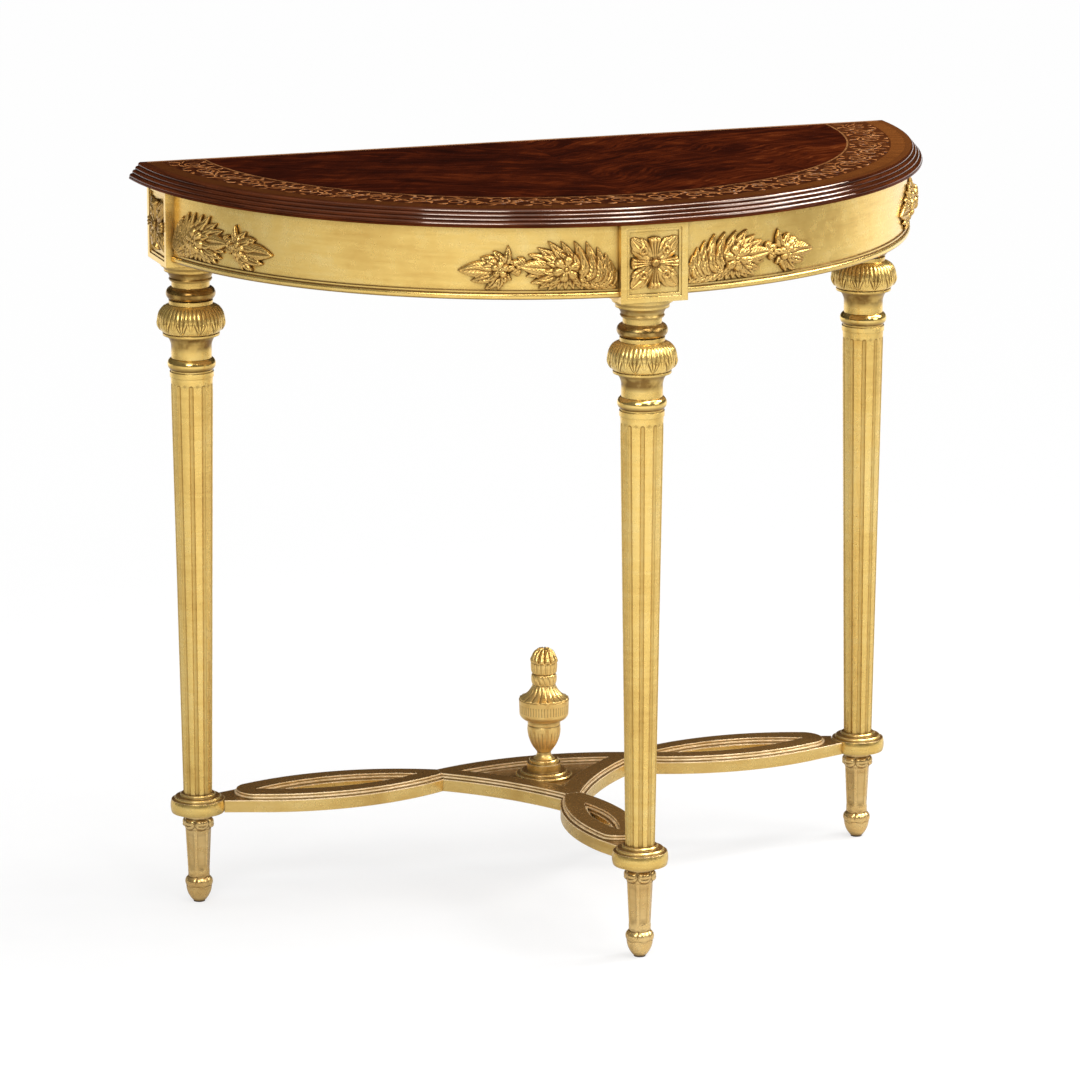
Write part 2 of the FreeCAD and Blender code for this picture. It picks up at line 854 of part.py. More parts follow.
def make_rosettes():
    face = half_block - size("panel_depth")
    make_rosette("rosette_left", -rear_x - face, rear_y, -QUARTER_TURN)
    make_rosette("rosette_front", 0, front_y - face, 0)
    make_rosette("rosette_right", rear_x + face, rear_y, QUARTER_TURN)


def make_spray(label, centre_angle, side):
    """A spray bent to the frieze: broad leaf with a flower at the block, then waist, bud and tip."""
    inner = frieze_radius + seat
    outer = inner + size("spray_relief")
    length = size("spray_length")
    half = length / 2
    tall = size("spray_height")
    body = new_body(label)
    plan = new_sketch(body, "XY_Plane", label + "_plan")
    add_outline(plan, [
        (-half, -leg_of(outer, half), Round(outer, 1)),
        (half, -leg_of(outer, half)),
        (half, -leg_of(inner, half), Round(inner, -1)),
        (-half, -leg_of(inner, half)),
    ])
    pad(body, plan, tall, label + "_slab")
    corners = []
    for along, up, bow in SPRAY_OUTLINE:
        corner = (length * along - half, tall * up)
        corners.append(corner + (Bow(tall * bow),) if bow else corner)
    front = new_sketch(body, "XZ_Plane", label + "_front", outer + size("spray_relief"))
    frame = half + size("spray_relief")
    low = -size("spray_relief")
    high = tall + size("spray_relief")
    add_outline(front, [(-frame, low), (frame, low), (frame, high), (-frame, high)])
    add_outline(front, corners, side)
    pocket(body, front, None, label + "_carving")
    x = (length * SPRAY_FLOWER[0] - half) * side
    z = tall * SPRAY_FLOWER[1]
    for name in ("flower", "button"):
        rise = size("spray_%s_rise" % name)
        disc = new_sketch(body, "XZ_Plane", "%s_%s" % (label, name), outer + rise)
        add_circle(disc, x, z, size("spray_%s_radius" % name))
        relief = pad(body, disc, rise + size("spray_relief") / 2, "%s_%s_relief" % (label, name))
        relief.Reversed = True
    place(body, 0, back, rail_level + size("bead_height") + size("bead_fillet_height") + seat, centre_angle)
    keep(body)


def make_sprays():
    """Two sprays flank the front block and one starts at each rear block."""
    radius = frieze_radius.value
    half_span = math.asin(size("spray_length").value / 2 / radius)
    fore = math.asin(half_block.value / radius) + half_span
    rear = math.acos(rail_end.value / radius) - half_span
    clear = seat.value / radius
    for name, angle, side in (
        ("left_end", -rear + clear, 1),
        ("left_front", -fore - clear, -1),
        ("right_front", fore + clear, 1),
        ("right_end", rear - clear, -1),
    ):
        make_spray("spray_" + name, math.degrees(angle), side)


# Hidden fastenings


def make_rail_dowels():
    pins = []
    radius = size("dowel_radius")
    length = size("dowel_length")
    fore = back - leg_of(rail_middle, half_block)
    for side in (-1, 1):
        across = Vector(1, 0, 0)
        along = Vector(0, 1, 0)
        for height in dowel_heights:
            level = rail_level + height
            start = half_block * side - half_dowel
            pins.append(cylinder("fore_dowel", radius, length, start, fore, level, across))
            x = leg_of(rail_middle, rail_end) * side
            start = back - rail_end - half_dowel
            pins.append(cylinder("rear_dowel", radius, length, x, start, level, along))
            start = (rear_x - half_block) * side - half_dowel
            pins.append(cylinder("back_dowel", radius, length, start, back_rail_middle, level, across))
        level = top_level - size("bearer_height") / 2
        for x in bearer_dowel_places()[:1] if side < 0 else bearer_dowel_places()[1:]:
            start = back_rail_front - half_dowel
            pins.append(cylinder("bearer_dowel", radius, length, x, start, level, along))
            start = front_y + half_block - half_dowel
            pins.append(cylinder("bearer_dowel", radius, length, x, start, level, along))
    group("rail_dowels", pins)


def make_glue_blocks():
    """Blocks in the corner of rail and top, cut away below and drilled for a screw."""
    length = size("glue_block_length") / 2
    deep = size("glue_block_depth")
    face = leg_of(rail_inner, length) - seat
    blocks = []
    for side in (-1, 1):
        for angle in GLUE_BLOCK_ANGLES:
            body = new_body("glue_block")
            section = new_sketch(body, "YZ_Plane", "glue_block_section", -length)
            high = size("bearer_height")
            add_outline(section, [
                (-face, 0), (deep - face - size("glue_block_bevel"), 0),
                (deep - face, size("glue_block_bevel")), (deep - face, high), (-face, high)])
            pad(body, section, length * 2, "glue_block_length")
            centre = deep / 2 - rail_inner
            shank = new_sketch(body, "XY_Plane", "glue_block_hole")
            add_circle(shank, 0, centre, size("screw_radius") + seat)
            pocket(body, shank, None, "glue_block_drilling", turned=True)
            head = new_sketch(body, "XY_Plane", "glue_block_sink")
            add_circle(head, 0, centre, size("screw_head_radius") + seat)
            pocket(body, head, size("screw_head_height") + seat, "glue_block_sinking", turned=True)
            place(body, 0, back, top_level - size("bearer_height"), side * angle)
            blocks.append(body)
    group("glue_blocks", blocks)


def make_top_screws():
    screws = []
    for x, y in screw_places():
        level = top_level - size("bearer_height")
        shank = cylinder("shank", size("screw_radius"), size("screw_length"), x, y + back, level)
        head = cylinder("head", size("screw_head_radius"), size("screw_head_height"), x, y + back, level)
        screw = doc.addObject("Part::Fuse", "screw")
        screw.Base = shank
        screw.Tool = head
        screws.append(screw)
    group("top_screws", screws)


# Legs


def leg_section():
    """Half section of a leg from the tenon down to the socket for the foot, and the shaft's top level."""
    tenon_top = block_level + size("tenon_length")
    socket = size("spigot_radius") + seat
    socket_top = leg_level + size("spigot_grip") + seat
    collar_edge = size("collar_radius") - size("collar_bevel")
    level = block_level
    right = [(size("tenon_radius"), tenon_top), (size("tenon_radius"), level), (size("cap_radius"), level)]
    level = level - size("cap_height")
    right += [(size("cap_radius"), level), (size("cap_radius") - size("cap_quirk"), level)]
    level = level - size("cap_ring_drop")
    right.append((size("cap_ring_radius"), level))
    level = level - size("cap_ring_height")
    right.append((size("cap_ring_radius"), level))
    right.append((size("cap_ring_radius") - size("cap_quirk"), level, Bow(size("cove_hollow"))))
    level = level - size("cove_height")
    right += [(collar_edge, level), (size("collar_radius"), level - size("collar_height") / 2)]
    level = level - size("collar_height")
    right += [(collar_edge, level), (size("upper_neck_radius"), level)]
    level = level - size("upper_neck_height")
    right.append((size("upper_neck_radius"), level, Bow(size("upper_neck_radius") - size("torus_radius"))))
    level = level - size("torus_height")
    right += [(size("upper_neck_radius"), level), (size("fillet_radius"), level)]
    level = level - size("fillet_height")
    right.append((size("fillet_radius"), level, Bow(-size("bulb_upper_bow"))))
    right.append((size("bulb_radius"), level - size("bulb_shoulder"), Bow(-size("bulb_lower_bow"))))
    level = level - size("bulb_height")
    right += [(size("bulb_foot_radius"), level), (size("bulb_ring_radius"), level)]
    level = level - size("bulb_ring_height")
    right.append((size("bulb_ring_radius"), level))
    right.append((size("neck_flare_radius"), level, Bow(size("neck_flare_hollow"))))
    right.append((size("lower_neck_radius"), level - size("neck_flare_height")))
    level = level - size("lower_neck_height")
    right.append((size("lower_neck_radius"), level))
    right.append((size("quirk_radius"), level, Bow(size("quirk_radius") - size("ring_radius"))))
    level = level - size("ring_height")
    right.append((size("quirk_radius"), level))
    level = level - size("quirk_height")
    right += [(size("quirk_radius"), level), (size("astragal_radius"), level)]
    level = level - size("astragal_height")
    right += [(size("astragal_radius"), level), (size("shaft_top_radius"), level)]
    right.append((size("shaft_bottom_radius"), leg_level))
    inside = [(socket, leg_level), (socket, socket_top), (0, socket_top), (0, tenon_top)]
    return right + inside, level


def cut_flutes(body, top, bottom, radius, offset, alias, count):
    """Round-ended flutes along the taper: one groove about its own slanting axis, repeated."""
    rise = top[1] - bottom[1]
    spread = top[0] - bottom[0]
    slant = root(rise * rise + spread * spread)
    upper = (top[0] + offset, top[1])
    lower = (bottom[0] + offset, bottom[1])
    reach_u = radius * spread / slant
    reach_v = radius * rise / slant
    start = (upper[0] + reach_u, upper[1] + reach_v)
    end = (lower[0] - reach_u, lower[1] - reach_v)
    sketch = new_sketch(body, "XZ_Plane", body.Label + "_flute")
    add_outline(sketch, [
        (start[0], start[1], Bow(radius * (1 - DIAGONAL))),
        (upper[0] - radius, upper[1]),
        (lower[0] - radius, lower[1], Bow(radius * (1 - DIAGONAL))),
        (end[0], end[1]),
    ])
    first = Vector(start[0].value, start[1].value, 0)
    last = Vector(end[0].value, end[1].value, 0)
    axis = sketch.addGeometry(Part.LineSegment(first, last), True)
    fix_point(sketch, axis, 1, *start)
    fix_point(sketch, axis, 2, *end)
    before = body.Shape.Volume
    groove = body.newObject("PartDesign::Groove", body.Label + "_flute_groove")
    groove.Profile = sketch
    groove.ReferenceAxis = (sketch, ["Axis0"])
    groove.Angle = FULL_TURN
    doc.recompute()
    polar_pattern(body, groove, (sketch, ["V_Axis"]), alias, count, body.Label + "_flutes")
    if body.Shape.Volume >= before:
        raise RuntimeError("flutes of %s cut nothing" % body.Label)


def make_leg(name, x, y):
    label = "leg_" + name
    corners, shaft_top = leg_section()
    body = turned_body(label, corners)
    spread = size("shaft_top_radius") - size("shaft_bottom_radius")
    slope = spread / (shaft_top - leg_level)
    high = shaft_top - size("flute_top_margin")
    low = leg_level + size("flute_bottom_margin")
    top = (size("shaft_top_radius") - slope * (shaft_top - high), high)
    bottom = (size("shaft_bottom_radius") + slope * (low - leg_level), low)
    offset = size("flute_radius") - size("flute_depth")
    cut_flutes(body, top, bottom, size("flute_radius"), offset, "flute_count", int(SIZES["flute_count"]))
    place(body, x, y, 0)
    keep(body)


# Stretcher


def make_boss(label):
    """Stepped disc between a leg and its foot."""
    bore = size("spigot_radius") + seat
    radius = size("boss_radius") - size("boss_bulge")
    bevel = size("boss_bevel")
    step = size("boss_height") + size("boss_step_height")
    return turned_body(label, [
        (bore, 0),
        (radius, 0, Bow(size("boss_bulge"))),
        (radius, size("boss_height")),
        (size("boss_step_radius"), size("boss_height")),
        (size("boss_step_radius"), step - bevel),
        (size("boss_step_radius") - bevel, step),
        (size("boss_collar_radius"), step),
        (size("boss_collar_radius"), boss_total - bevel),
        (size("boss_collar_radius") - bevel, boss_total),
        (bore, boss_total),
    ])


def arc_radius(reach, rise):
    """Radius of an arc that falls by the rise over the reach from its middle."""
    return (reach * reach + rise * rise) / (rise * 2)


def loop_turn(kind):
    """Where a loop's sides give way to its rounded end: reach, half width and the radius of the sides."""
    turn = size(kind + "_loop_start") + size("loop_end_round")
    end = arm_reach[kind]
    middle = (turn + end) / 2 - size(kind + "_loop_lean")
    radius = arc_radius(end - middle, size(kind + "_loop_half_width") - size(kind + "_joint_half_width"))
    drop = size(kind + "_loop_half_width") - radius
    return turn, drop + leg_of(radius, middle - turn), radius


def loop_outline(sketch, kind, grow):
    """Lens-shaped loop with a rounded end by the leg and a square joint by the centre."""
    turn, half_width, radius = loop_turn(kind)
    end = arm_reach[kind]
    turn_half = half_width + grow
    end_half = size(kind + "_joint_half_width") + grow
    add_outline(sketch, [
        (end, -end_half),
        (end, end_half, Round(radius + grow, 1)),
        (turn, turn_half, Bow(size("loop_end_round") + grow)),
        (turn, -turn_half, Round(radius + grow, 1)),
    ])


def slot_outline(sketch, kind, shrink):
    """Lens-shaped slot inside a loop."""
    turn = size(kind + "_loop_start") + size("loop_end_round")
    outer = turn + size(kind + "_slot_outer_margin")
    inner = arm_reach[kind] - size(kind + "_slot_inner_margin")
    middle = (outer + inner) / 2
    radius = arc_radius(inner - middle, size(kind + "_slot_half_width"))
    drop = radius - size(kind + "_slot_half_width")
    tip = leg_of(radius - shrink, drop)
    curve = Round(radius - shrink, 1)
    add_outline(sketch, [(middle - tip, 0, curve), (middle + tip, 0, curve)])


def bead_tiers():
    """Level and outward growth of the stretcher's three tiers, lowest first."""
    board = size("board_thickness")
    step = size("bead_step")
    return (
        (as_size(0), board, bead_total),
        (board, step, size("bead_width")),
        (board + step, step, as_size(0)),
    )


def make_arm(name, kind, x, y, turn):
    """Pierced loop that runs from a leg to the centre, with stepped beads inside and out."""
    label = "stretcher_arm_" + name
    body = new_body(label)
    for index, (level, height, grow) in enumerate(bead_tiers()):
        tier = new_sketch(body, "XY_Plane", "%s_tier_%d" % (label, index), level)
        loop_outline(tier, kind, grow)
        pad(body, tier, height, "%s_tier_%d_board" % (label, index))
    half_neck = size("neck_width") / 2
    turn_point, half_width, _ = loop_turn(kind)
    wide = half_width + bead_total
    inside = size("boss_radius") / 2
    neck = new_sketch(body, "XY_Plane", label + "_neck")
    add_outline(neck, [(inside, -half_neck), (turn_point, -wide), (turn_point, wide), (inside, half_neck)])
    pad(body, neck, size("board_thickness"), label + "_neck_board")
    cope = new_sketch(body, "XY_Plane", label + "_cope")
    add_circle(cope, 0, 0, size("boss_radius") + seat)
    pocket(body, cope, None, label + "_coping", turned=True)
    for index, (level, height, grow) in enumerate(bead_tiers()):
        slot = new_sketch(body, "XY_Plane", "%s_slot_%d" % (label, index), level + height)
        slot_outline(slot, kind, grow)
        depth = None if index == 0 else height
        pocket(body, slot, depth, "%s_slot_%d_piercing" % (label, index))
    for end, reach, turned in (("inner", arm_reach[kind], False), ("outer", as_size(0), True)):
        hole = new_sketch(body, "YZ_Plane", "%s_%s_hole" % (label, end), reach)
        add_circle(hole, 0, arm_dowel_level, arm_dowel_bore)
        depth = size("arm_dowel_length") / 2 + seat
        if turned:
            depth = depth + size("boss_radius")
        pocket(body, hole, depth, "%s_%s_drilling" % (label, end), turned=turned)
    place(body, x, y, board_level, turn)
    keep(body)


def make_arms():
    make_arm("left", "side", -rear_x, rear_y, 0)
    make_arm("right", "side", rear_x, rear_y, HALF_TURN)
    make_arm("front", "front", 0, front_y, QUARTER_TURN)


def centre_outline(sketch, grow):
    """Three-pointed outline: bowed at the back, hollow at the sides, square at the joints."""
    side_x = size("side_joint_reach")
    front_v = -size("front_joint_reach")
    side_half = size("side_joint_half_width") + grow
    front_half = size("front_joint_half_width") + grow
    hollow = Bow(-size("centre_front_hollow"))
    add_outline(sketch, [
        (-side_x, -side_half, hollow),
        (-front_half, front_v),
        (front_half, front_v, hollow),
        (side_x, -side_half),
        (side_x, side_half, Bow(size("centre_back_bow"))),
        (-side_x, side_half),
    ])


def well_outline(sketch, shrink):
    """Opening inside the centre, a curved triangle that follows the outer edges."""
    reach = size("well_side_reach") - shrink * size("well_side_taper")
    side_v = size("rear_leg_setback") - size("well_side_setback")
    front_v = size("rear_leg_setback") - size("well_front_setback") + shrink * size("well_front_taper")
    hollow = Bow(-size("well_front_hollow"))
    add_outline(sketch, [
        (-reach, side_v, hollow),
        (0, front_v, hollow),
        (reach, side_v, Bow(size("well_back_bow") - shrink)),
    ])


def make_centre():
    """Frame of crossing bands with a sunk panel; its local origin is on the line of the rear legs."""
    body = new_body("stretcher_centre")
    for index, (level, height, grow) in enumerate(bead_tiers()):
        tier = new_sketch(body, "XY_Plane", "centre_tier_%d" % index, level)
        centre_outline(tier, grow)
        pad(body, tier, height, "centre_tier_%d_board" % index)
    for index, (level, height, grow) in enumerate(bead_tiers()):
        well = new_sketch(body, "XY_Plane", "centre_well_%d" % index, level + height)
        well_outline(well, grow)
        depth = None if index == 0 else height
        pocket(body, well, depth, "centre_well_%d_piercing" % index)
    side_x = size("side_joint_reach")
    depth = size("arm_dowel_length") / 2 + seat
    for name, reach, turned in (("left", -side_x, True), ("right", side_x, False)):
        hole = new_sketch(body, "YZ_Plane", "centre_%s_hole" % name, reach)
        add_circle(hole, 0, arm_dowel_level, arm_dowel_bore)
        pocket(body, hole, depth, "centre_%s_drilling" % name, turned=turned)
    hole = new_sketch(body, "XZ_Plane", "centre_front_hole", size("front_joint_reach"))
    add_circle(hole, 0, arm_dowel_level, arm_dowel_bore)
    pocket(body, hole, depth, "centre_front_drilling")
    place(body, 0, rear_y, board_level)
    keep(body)

    panel = new_body("stretcher_panel")
    floor = new_sketch(panel, "XY_Plane", "panel_plan")
    well_outline(floor, bead_total + seat)
    pad(panel, floor, size("floor_thickness"), "panel_board")
    hole = new_sketch(panel, "XY_Plane", "panel_pin_hole")
    add_circle(hole, 0, back - size("finial_setback") - rear_y, size("finial_pin_radius") + seat)
    pocket(panel, hole, None, "panel_pin_drilling", turned=True)
    place(panel, 0, rear_y, board_level)
    keep(panel)


def make_stretcher_dowels():
    """One dowel across each joint of the stretcher."""
    radius = size("arm_dowel_radius")
    length = size("arm_dowel_length")
    half = length / 2
    level = board_level + arm_dowel_level
    across = Vector(1, 0, 0)
    along = Vector(0, 1, 0)
    joint_x = size("side_joint_reach")
    boss_x = rear_x - size("boss_radius")
    pins = []
    for side in (-1, 1):
        for reach in (joint_x, boss_x):
            pins.append(cylinder("arm_dowel", radius, length, reach * side - half, rear_y, level, across))
    for reach in (arm_reach["front"], size("boss_radius")):
        pins.append(cylinder("arm_dowel", radius, length, 0, front_y + reach - half, level, along))
    group("stretcher_dowels", pins)


def make_bosses():
    """Each boss is drilled towards the arm that it carries."""
    for (name, x, y), role, level, turned in zip(
        legs, ("YZ_Plane", "XZ_Plane", "YZ_Plane"), (1, -1, -1), (False, True, True)
    ):
        body = make_boss("stretcher_boss_" + name)
        hole = new_sketch(body, role, body.Label + "_hole", size("boss_radius") * level)
        add_circle(hole, 0, arm_dowel_level, arm_dowel_bore)
        depth = size("arm_dowel_length") / 2 + seat
        pocket(body, hole, depth, body.Label + "_drilling", turned=turned)
        place(body, x, y, board_level)
        keep(body)


# Feet


def make_foot(name, x, y):
    label = "foot_" + name
    top = board_level
    lip = top - size("foot_lip_drop")
    under = lip - size("foot_lip_height")
    ankle = size("foot_bulb_height")
    bottom = size("glide_height")
    spigot_top = leg_level + size("spigot_grip")
    body = turned_body(label, [
        (0, bottom),
        (size("foot_tip_radius"), bottom, Bow(size("foot_bulb_lower_bow"))),
        (size("foot_bulb_radius"), size("foot_bulb_level"), Bow(size("foot_bulb_upper_bow"))),
        (size("foot_ankle_radius"), ankle),
        (size("foot_top_radius"), under),
        (size("foot_lip_radius"), lip),
        (size("foot_neck_radius"), top),
        (size("spigot_radius"), top),
        (size("spigot_radius"), spigot_top),
        (0, spigot_top),
    ])
    slope = (size("foot_top_radius") - size("foot_ankle_radius")) / (under - ankle)
    margin = size("foot_flute_margin")
    top_end = (size("foot_top_radius") - slope * margin, under - margin)
    low_end = (size("foot_ankle_radius") + slope * margin, ankle + margin)
    offset = size("foot_flute_radius") - size("foot_flute_depth")
    count = int(SIZES["foot_flute_count"])
    cut_flutes(body, top_end, low_end, size("foot_flute_radius"), offset, "foot_flute_count", count)
    place(body, x, y, 0)
    keep(body)


def make_glides():
    glides = []
    for name, x, y in legs:
        glides.append(cylinder("glide_" + name, size("glide_radius"), size("glide_height"), x, y, 0))
    group("foot_glides", glides)


# Finial


def make_finial():
    """Turned plinth, gadrooned urn and tied bundle, pinned together on the sunk panel."""
    bore = size("finial_pin_radius") + seat
    bevel = size("finial_bevel")
    y = back - size("finial_setback")
    floor = board_level + size("floor_thickness")
    base_top = size("finial_base_height")
    ring_top = base_top + size("finial_ring_height")
    plinth_top = ring_top + size("plinth_height")
    cap_top = plinth_top + size("plinth_cap_height")
    base = turned_body("finial_base", [
        (bore, 0),
        (size("finial_base_radius"), 0),
        (size("finial_base_radius"), base_top - bevel),
        (size("finial_base_radius") - bevel, base_top),
        (size("finial_ring_radius"), base_top),
        (size("finial_ring_radius"), ring_top - bevel),
        (size("finial_ring_radius") - bevel, ring_top),
        (size("plinth_radius"), ring_top),
        (size("plinth_radius"), plinth_top),
        (size("plinth_cap_radius"), plinth_top),
        (size("plinth_cap_radius"), cap_top - bevel),
        (size("plinth_cap_radius") - bevel, cap_top),
        (bore, cap_top),
    ])
    place(base, 0, y, floor)
    keep(base)

    stem = size("urn_stem_height")
    cup_top = stem + size("urn_cup_height")
    drum_base = cup_top + size("urn_drum_base_height")
    drum_top = drum_base + size("urn_drum_height")
    urn = turned_body("finial_urn", [
        (bore, 0),
        (size("urn_foot_radius"), 0, Bow(-size("urn_stem_hollow"))),
        (size("urn_stem_radius"), stem, Bow(size("urn_cup_bow"))),
        (size("urn_cup_radius"), cup_top, Bow(size("urn_drum_base_bow"))),
        (size("urn_drum_lower_radius"), drum_base),
        (size("urn_drum_radius"), drum_top),
        (bore, drum_top),
    ])
    place(urn, 0, y, floor + cap_top)
    keep(urn)

    skirt = size("skirt_height")
    tie = skirt + size("bundle_lower_height")
    shoulder = tie + size("bundle_upper_height")
    tip = shoulder + size("crown_height")
    socket = size("finial_pin_margin") + seat
    crown = turned_body("finial_crown", [
        (bore, 0),
        (size("skirt_radius"), 0),
        (size("skirt_radius"), size("skirt_lip"), Bow(-size("skirt_hollow"))),
        (size("skirt_waist_radius"), skirt, Bow(size("bundle_lower_bow"))),
        (size("bundle_tie_radius"), tie, Bow(size("bundle_upper_bow"))),
        (size("bundle_shoulder_radius"), shoulder, Bow(size("crown_bow"))),
        (size("crown_radius"), tip),
        (0, tip),
        (0, socket),
        (bore, socket),
    ])
    place(crown, 0, y, floor + cap_top + drum_top)
    keep(crown)

    pin_height = size("floor_thickness") + cap_top + drum_top + size("finial_pin_margin")
    pin = cylinder("finial_pin", size("finial_pin_radius"), pin_height, 0, y, board_level)
    pin.Label = "finial_pin"
    keep(pin)


def build():
    make_top()
    make_edge_moulding()
    for name, side in (("left", -1), ("right", 1)):
        make_curved_rail("frieze_rail_" + name, side)
        make_frieze_bead("frieze_bead_" + name, side)
    make_straight_rails()
    make_blocks()
    make_rosettes()
    make_sprays()
    make_rail_dowels()
    make_glue_blocks()
    make_top_screws()
    for name, x, y in legs:
        make_leg(name, x, y)
        make_foot(name, x, y)
    make_bosses()
    make_arms()
    make_centre()
    make_stretcher_dowels()
    make_glides()
    make_finial()
    doc.recompute()


def check_document():
    for item in doc.Objects:
        if "Invalid" in item.State or "Error" in item.State:
            raise RuntimeError("%s failed: %s" % (item.Label, item.State))
    for item in nodes:
        if item.Shape.isNull() or not item.Shape.isValid():
            raise RuntimeError("%s has no valid shape" % item.Label)


def write_parts():
    os.makedirs("parts", exist_ok=True)
    for item in nodes:
        item.Shape.exportStep("parts/%s.step" % item.Label)
        print(item.Label, len(item.Shape.Solids), round(item.Shape.Volume / 1000, 1))


build()
check_document()
write_parts()
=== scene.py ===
import math
import bpy
import numpy as np
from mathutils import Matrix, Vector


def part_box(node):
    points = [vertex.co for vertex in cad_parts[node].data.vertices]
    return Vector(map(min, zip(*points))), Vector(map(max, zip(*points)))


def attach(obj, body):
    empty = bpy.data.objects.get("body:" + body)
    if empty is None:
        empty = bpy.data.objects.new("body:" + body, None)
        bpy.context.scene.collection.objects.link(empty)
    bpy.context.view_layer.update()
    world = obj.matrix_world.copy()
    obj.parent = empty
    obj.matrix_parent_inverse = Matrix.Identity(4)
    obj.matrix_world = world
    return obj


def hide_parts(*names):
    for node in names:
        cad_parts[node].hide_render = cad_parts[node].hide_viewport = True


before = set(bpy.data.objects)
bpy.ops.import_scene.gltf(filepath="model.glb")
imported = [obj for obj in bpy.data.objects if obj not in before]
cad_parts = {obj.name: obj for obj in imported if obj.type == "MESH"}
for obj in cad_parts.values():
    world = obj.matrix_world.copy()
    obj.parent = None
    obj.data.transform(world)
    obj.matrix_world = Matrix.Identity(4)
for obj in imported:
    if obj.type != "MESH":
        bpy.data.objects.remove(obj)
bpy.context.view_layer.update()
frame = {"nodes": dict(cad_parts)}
nodes = frame["nodes"]

# Looks of a demilune table: gilded carving, flame veneer with a marquetry border and a reeded edge.
# Lengths in the shape code are millimetres in the part's frame; MM turns them into metres.

MM = 0.001
FULL_TURN = 2 * math.pi


def corners(node):
    """Lowest and highest corner of a CAD node in millimetres."""
    return [np.array(corner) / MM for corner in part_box(node)]


def middle(node):
    return np.mean(corners(node), axis=0)


BACK_EDGE, TOP_LEVEL = corners("top_back_lipping")[1][1:]
TOP_AXIS = (0, BACK_EDGE)
LEG_PLACES = {name: middle("leg_block_" + name)[:2] for name in ("left", "front", "right")}
FINIAL_AXIS = middle("finial_urn")[:2]


# Meshes

# Widths and radii of the carving don't go below these.
LEAST_WIDTH = 1e-3
LEAST_RADIUS = 0.3


def mesh_object(name, points, faces, cavity=None):
    """Smooth-shaded mesh object from points in millimetres, with an optional cavity attribute."""
    mesh = bpy.data.meshes.new(name)
    mesh.from_pydata((np.asarray(points, float) * MM).tolist(), [], faces)
    mesh.validate()
    mesh.polygons.foreach_set("use_smooth", np.ones(len(mesh.polygons), bool))
    if cavity is not None:
        layer = mesh.attributes.new("cavity", "FLOAT", "POINT")
        layer.data.foreach_set("value", np.asarray(cavity, np.float32))
    item = bpy.data.objects.new(name, mesh)
    bpy.context.scene.collection.objects.link(item)
    return item


def smooth_step(value, low, high):
    share = np.clip((value - low) / (high - low), 0, 1)
    return share * share * (3 - 2 * share)


def band(value, low, high, soft):
    """One inside the band, falling to nought over the soft margin."""
    return smooth_step(value, low - soft, low + soft) * (1 - smooth_step(value, high - soft, high + soft))


def bell(value, top, width):
    """One at the top, falling to nought on both sides."""
    return np.exp(-((value - top) / width) ** 2)


def lobes(count, angle, phase=0):
    """One at the middle of each of so many equal lobes round a full turn, nought between them."""
    return np.abs(np.cos(count / 2 * angle + phase))


def turned(axis, reach, angle, level):
    """Points about an upright axis; the angle starts at the front and runs to the right."""
    return np.stack([axis[0] + reach * np.sin(angle), axis[1] - reach * np.cos(angle), level], -1)


def soften(values, passes):
    """Blur a grid by repeated averaging with its neighbours."""
    out = values.copy()
    for _ in range(passes):
        pad = np.pad(out, 1, mode="edge")
        out = (pad[:-2, 1:-1] + pad[2:, 1:-1] + pad[1:-1, :-2] + pad[1:-1, 2:] + 4 * out) / 8
    return out


def hollows(heights, passes, depth, extra_darkness=0):
    """How far points lie under their surroundings: a quarter on level ground, one in deep hollows."""
    return np.clip((soften(heights, passes) - heights) / depth + 0.25 + extra_darkness, 0, 1)


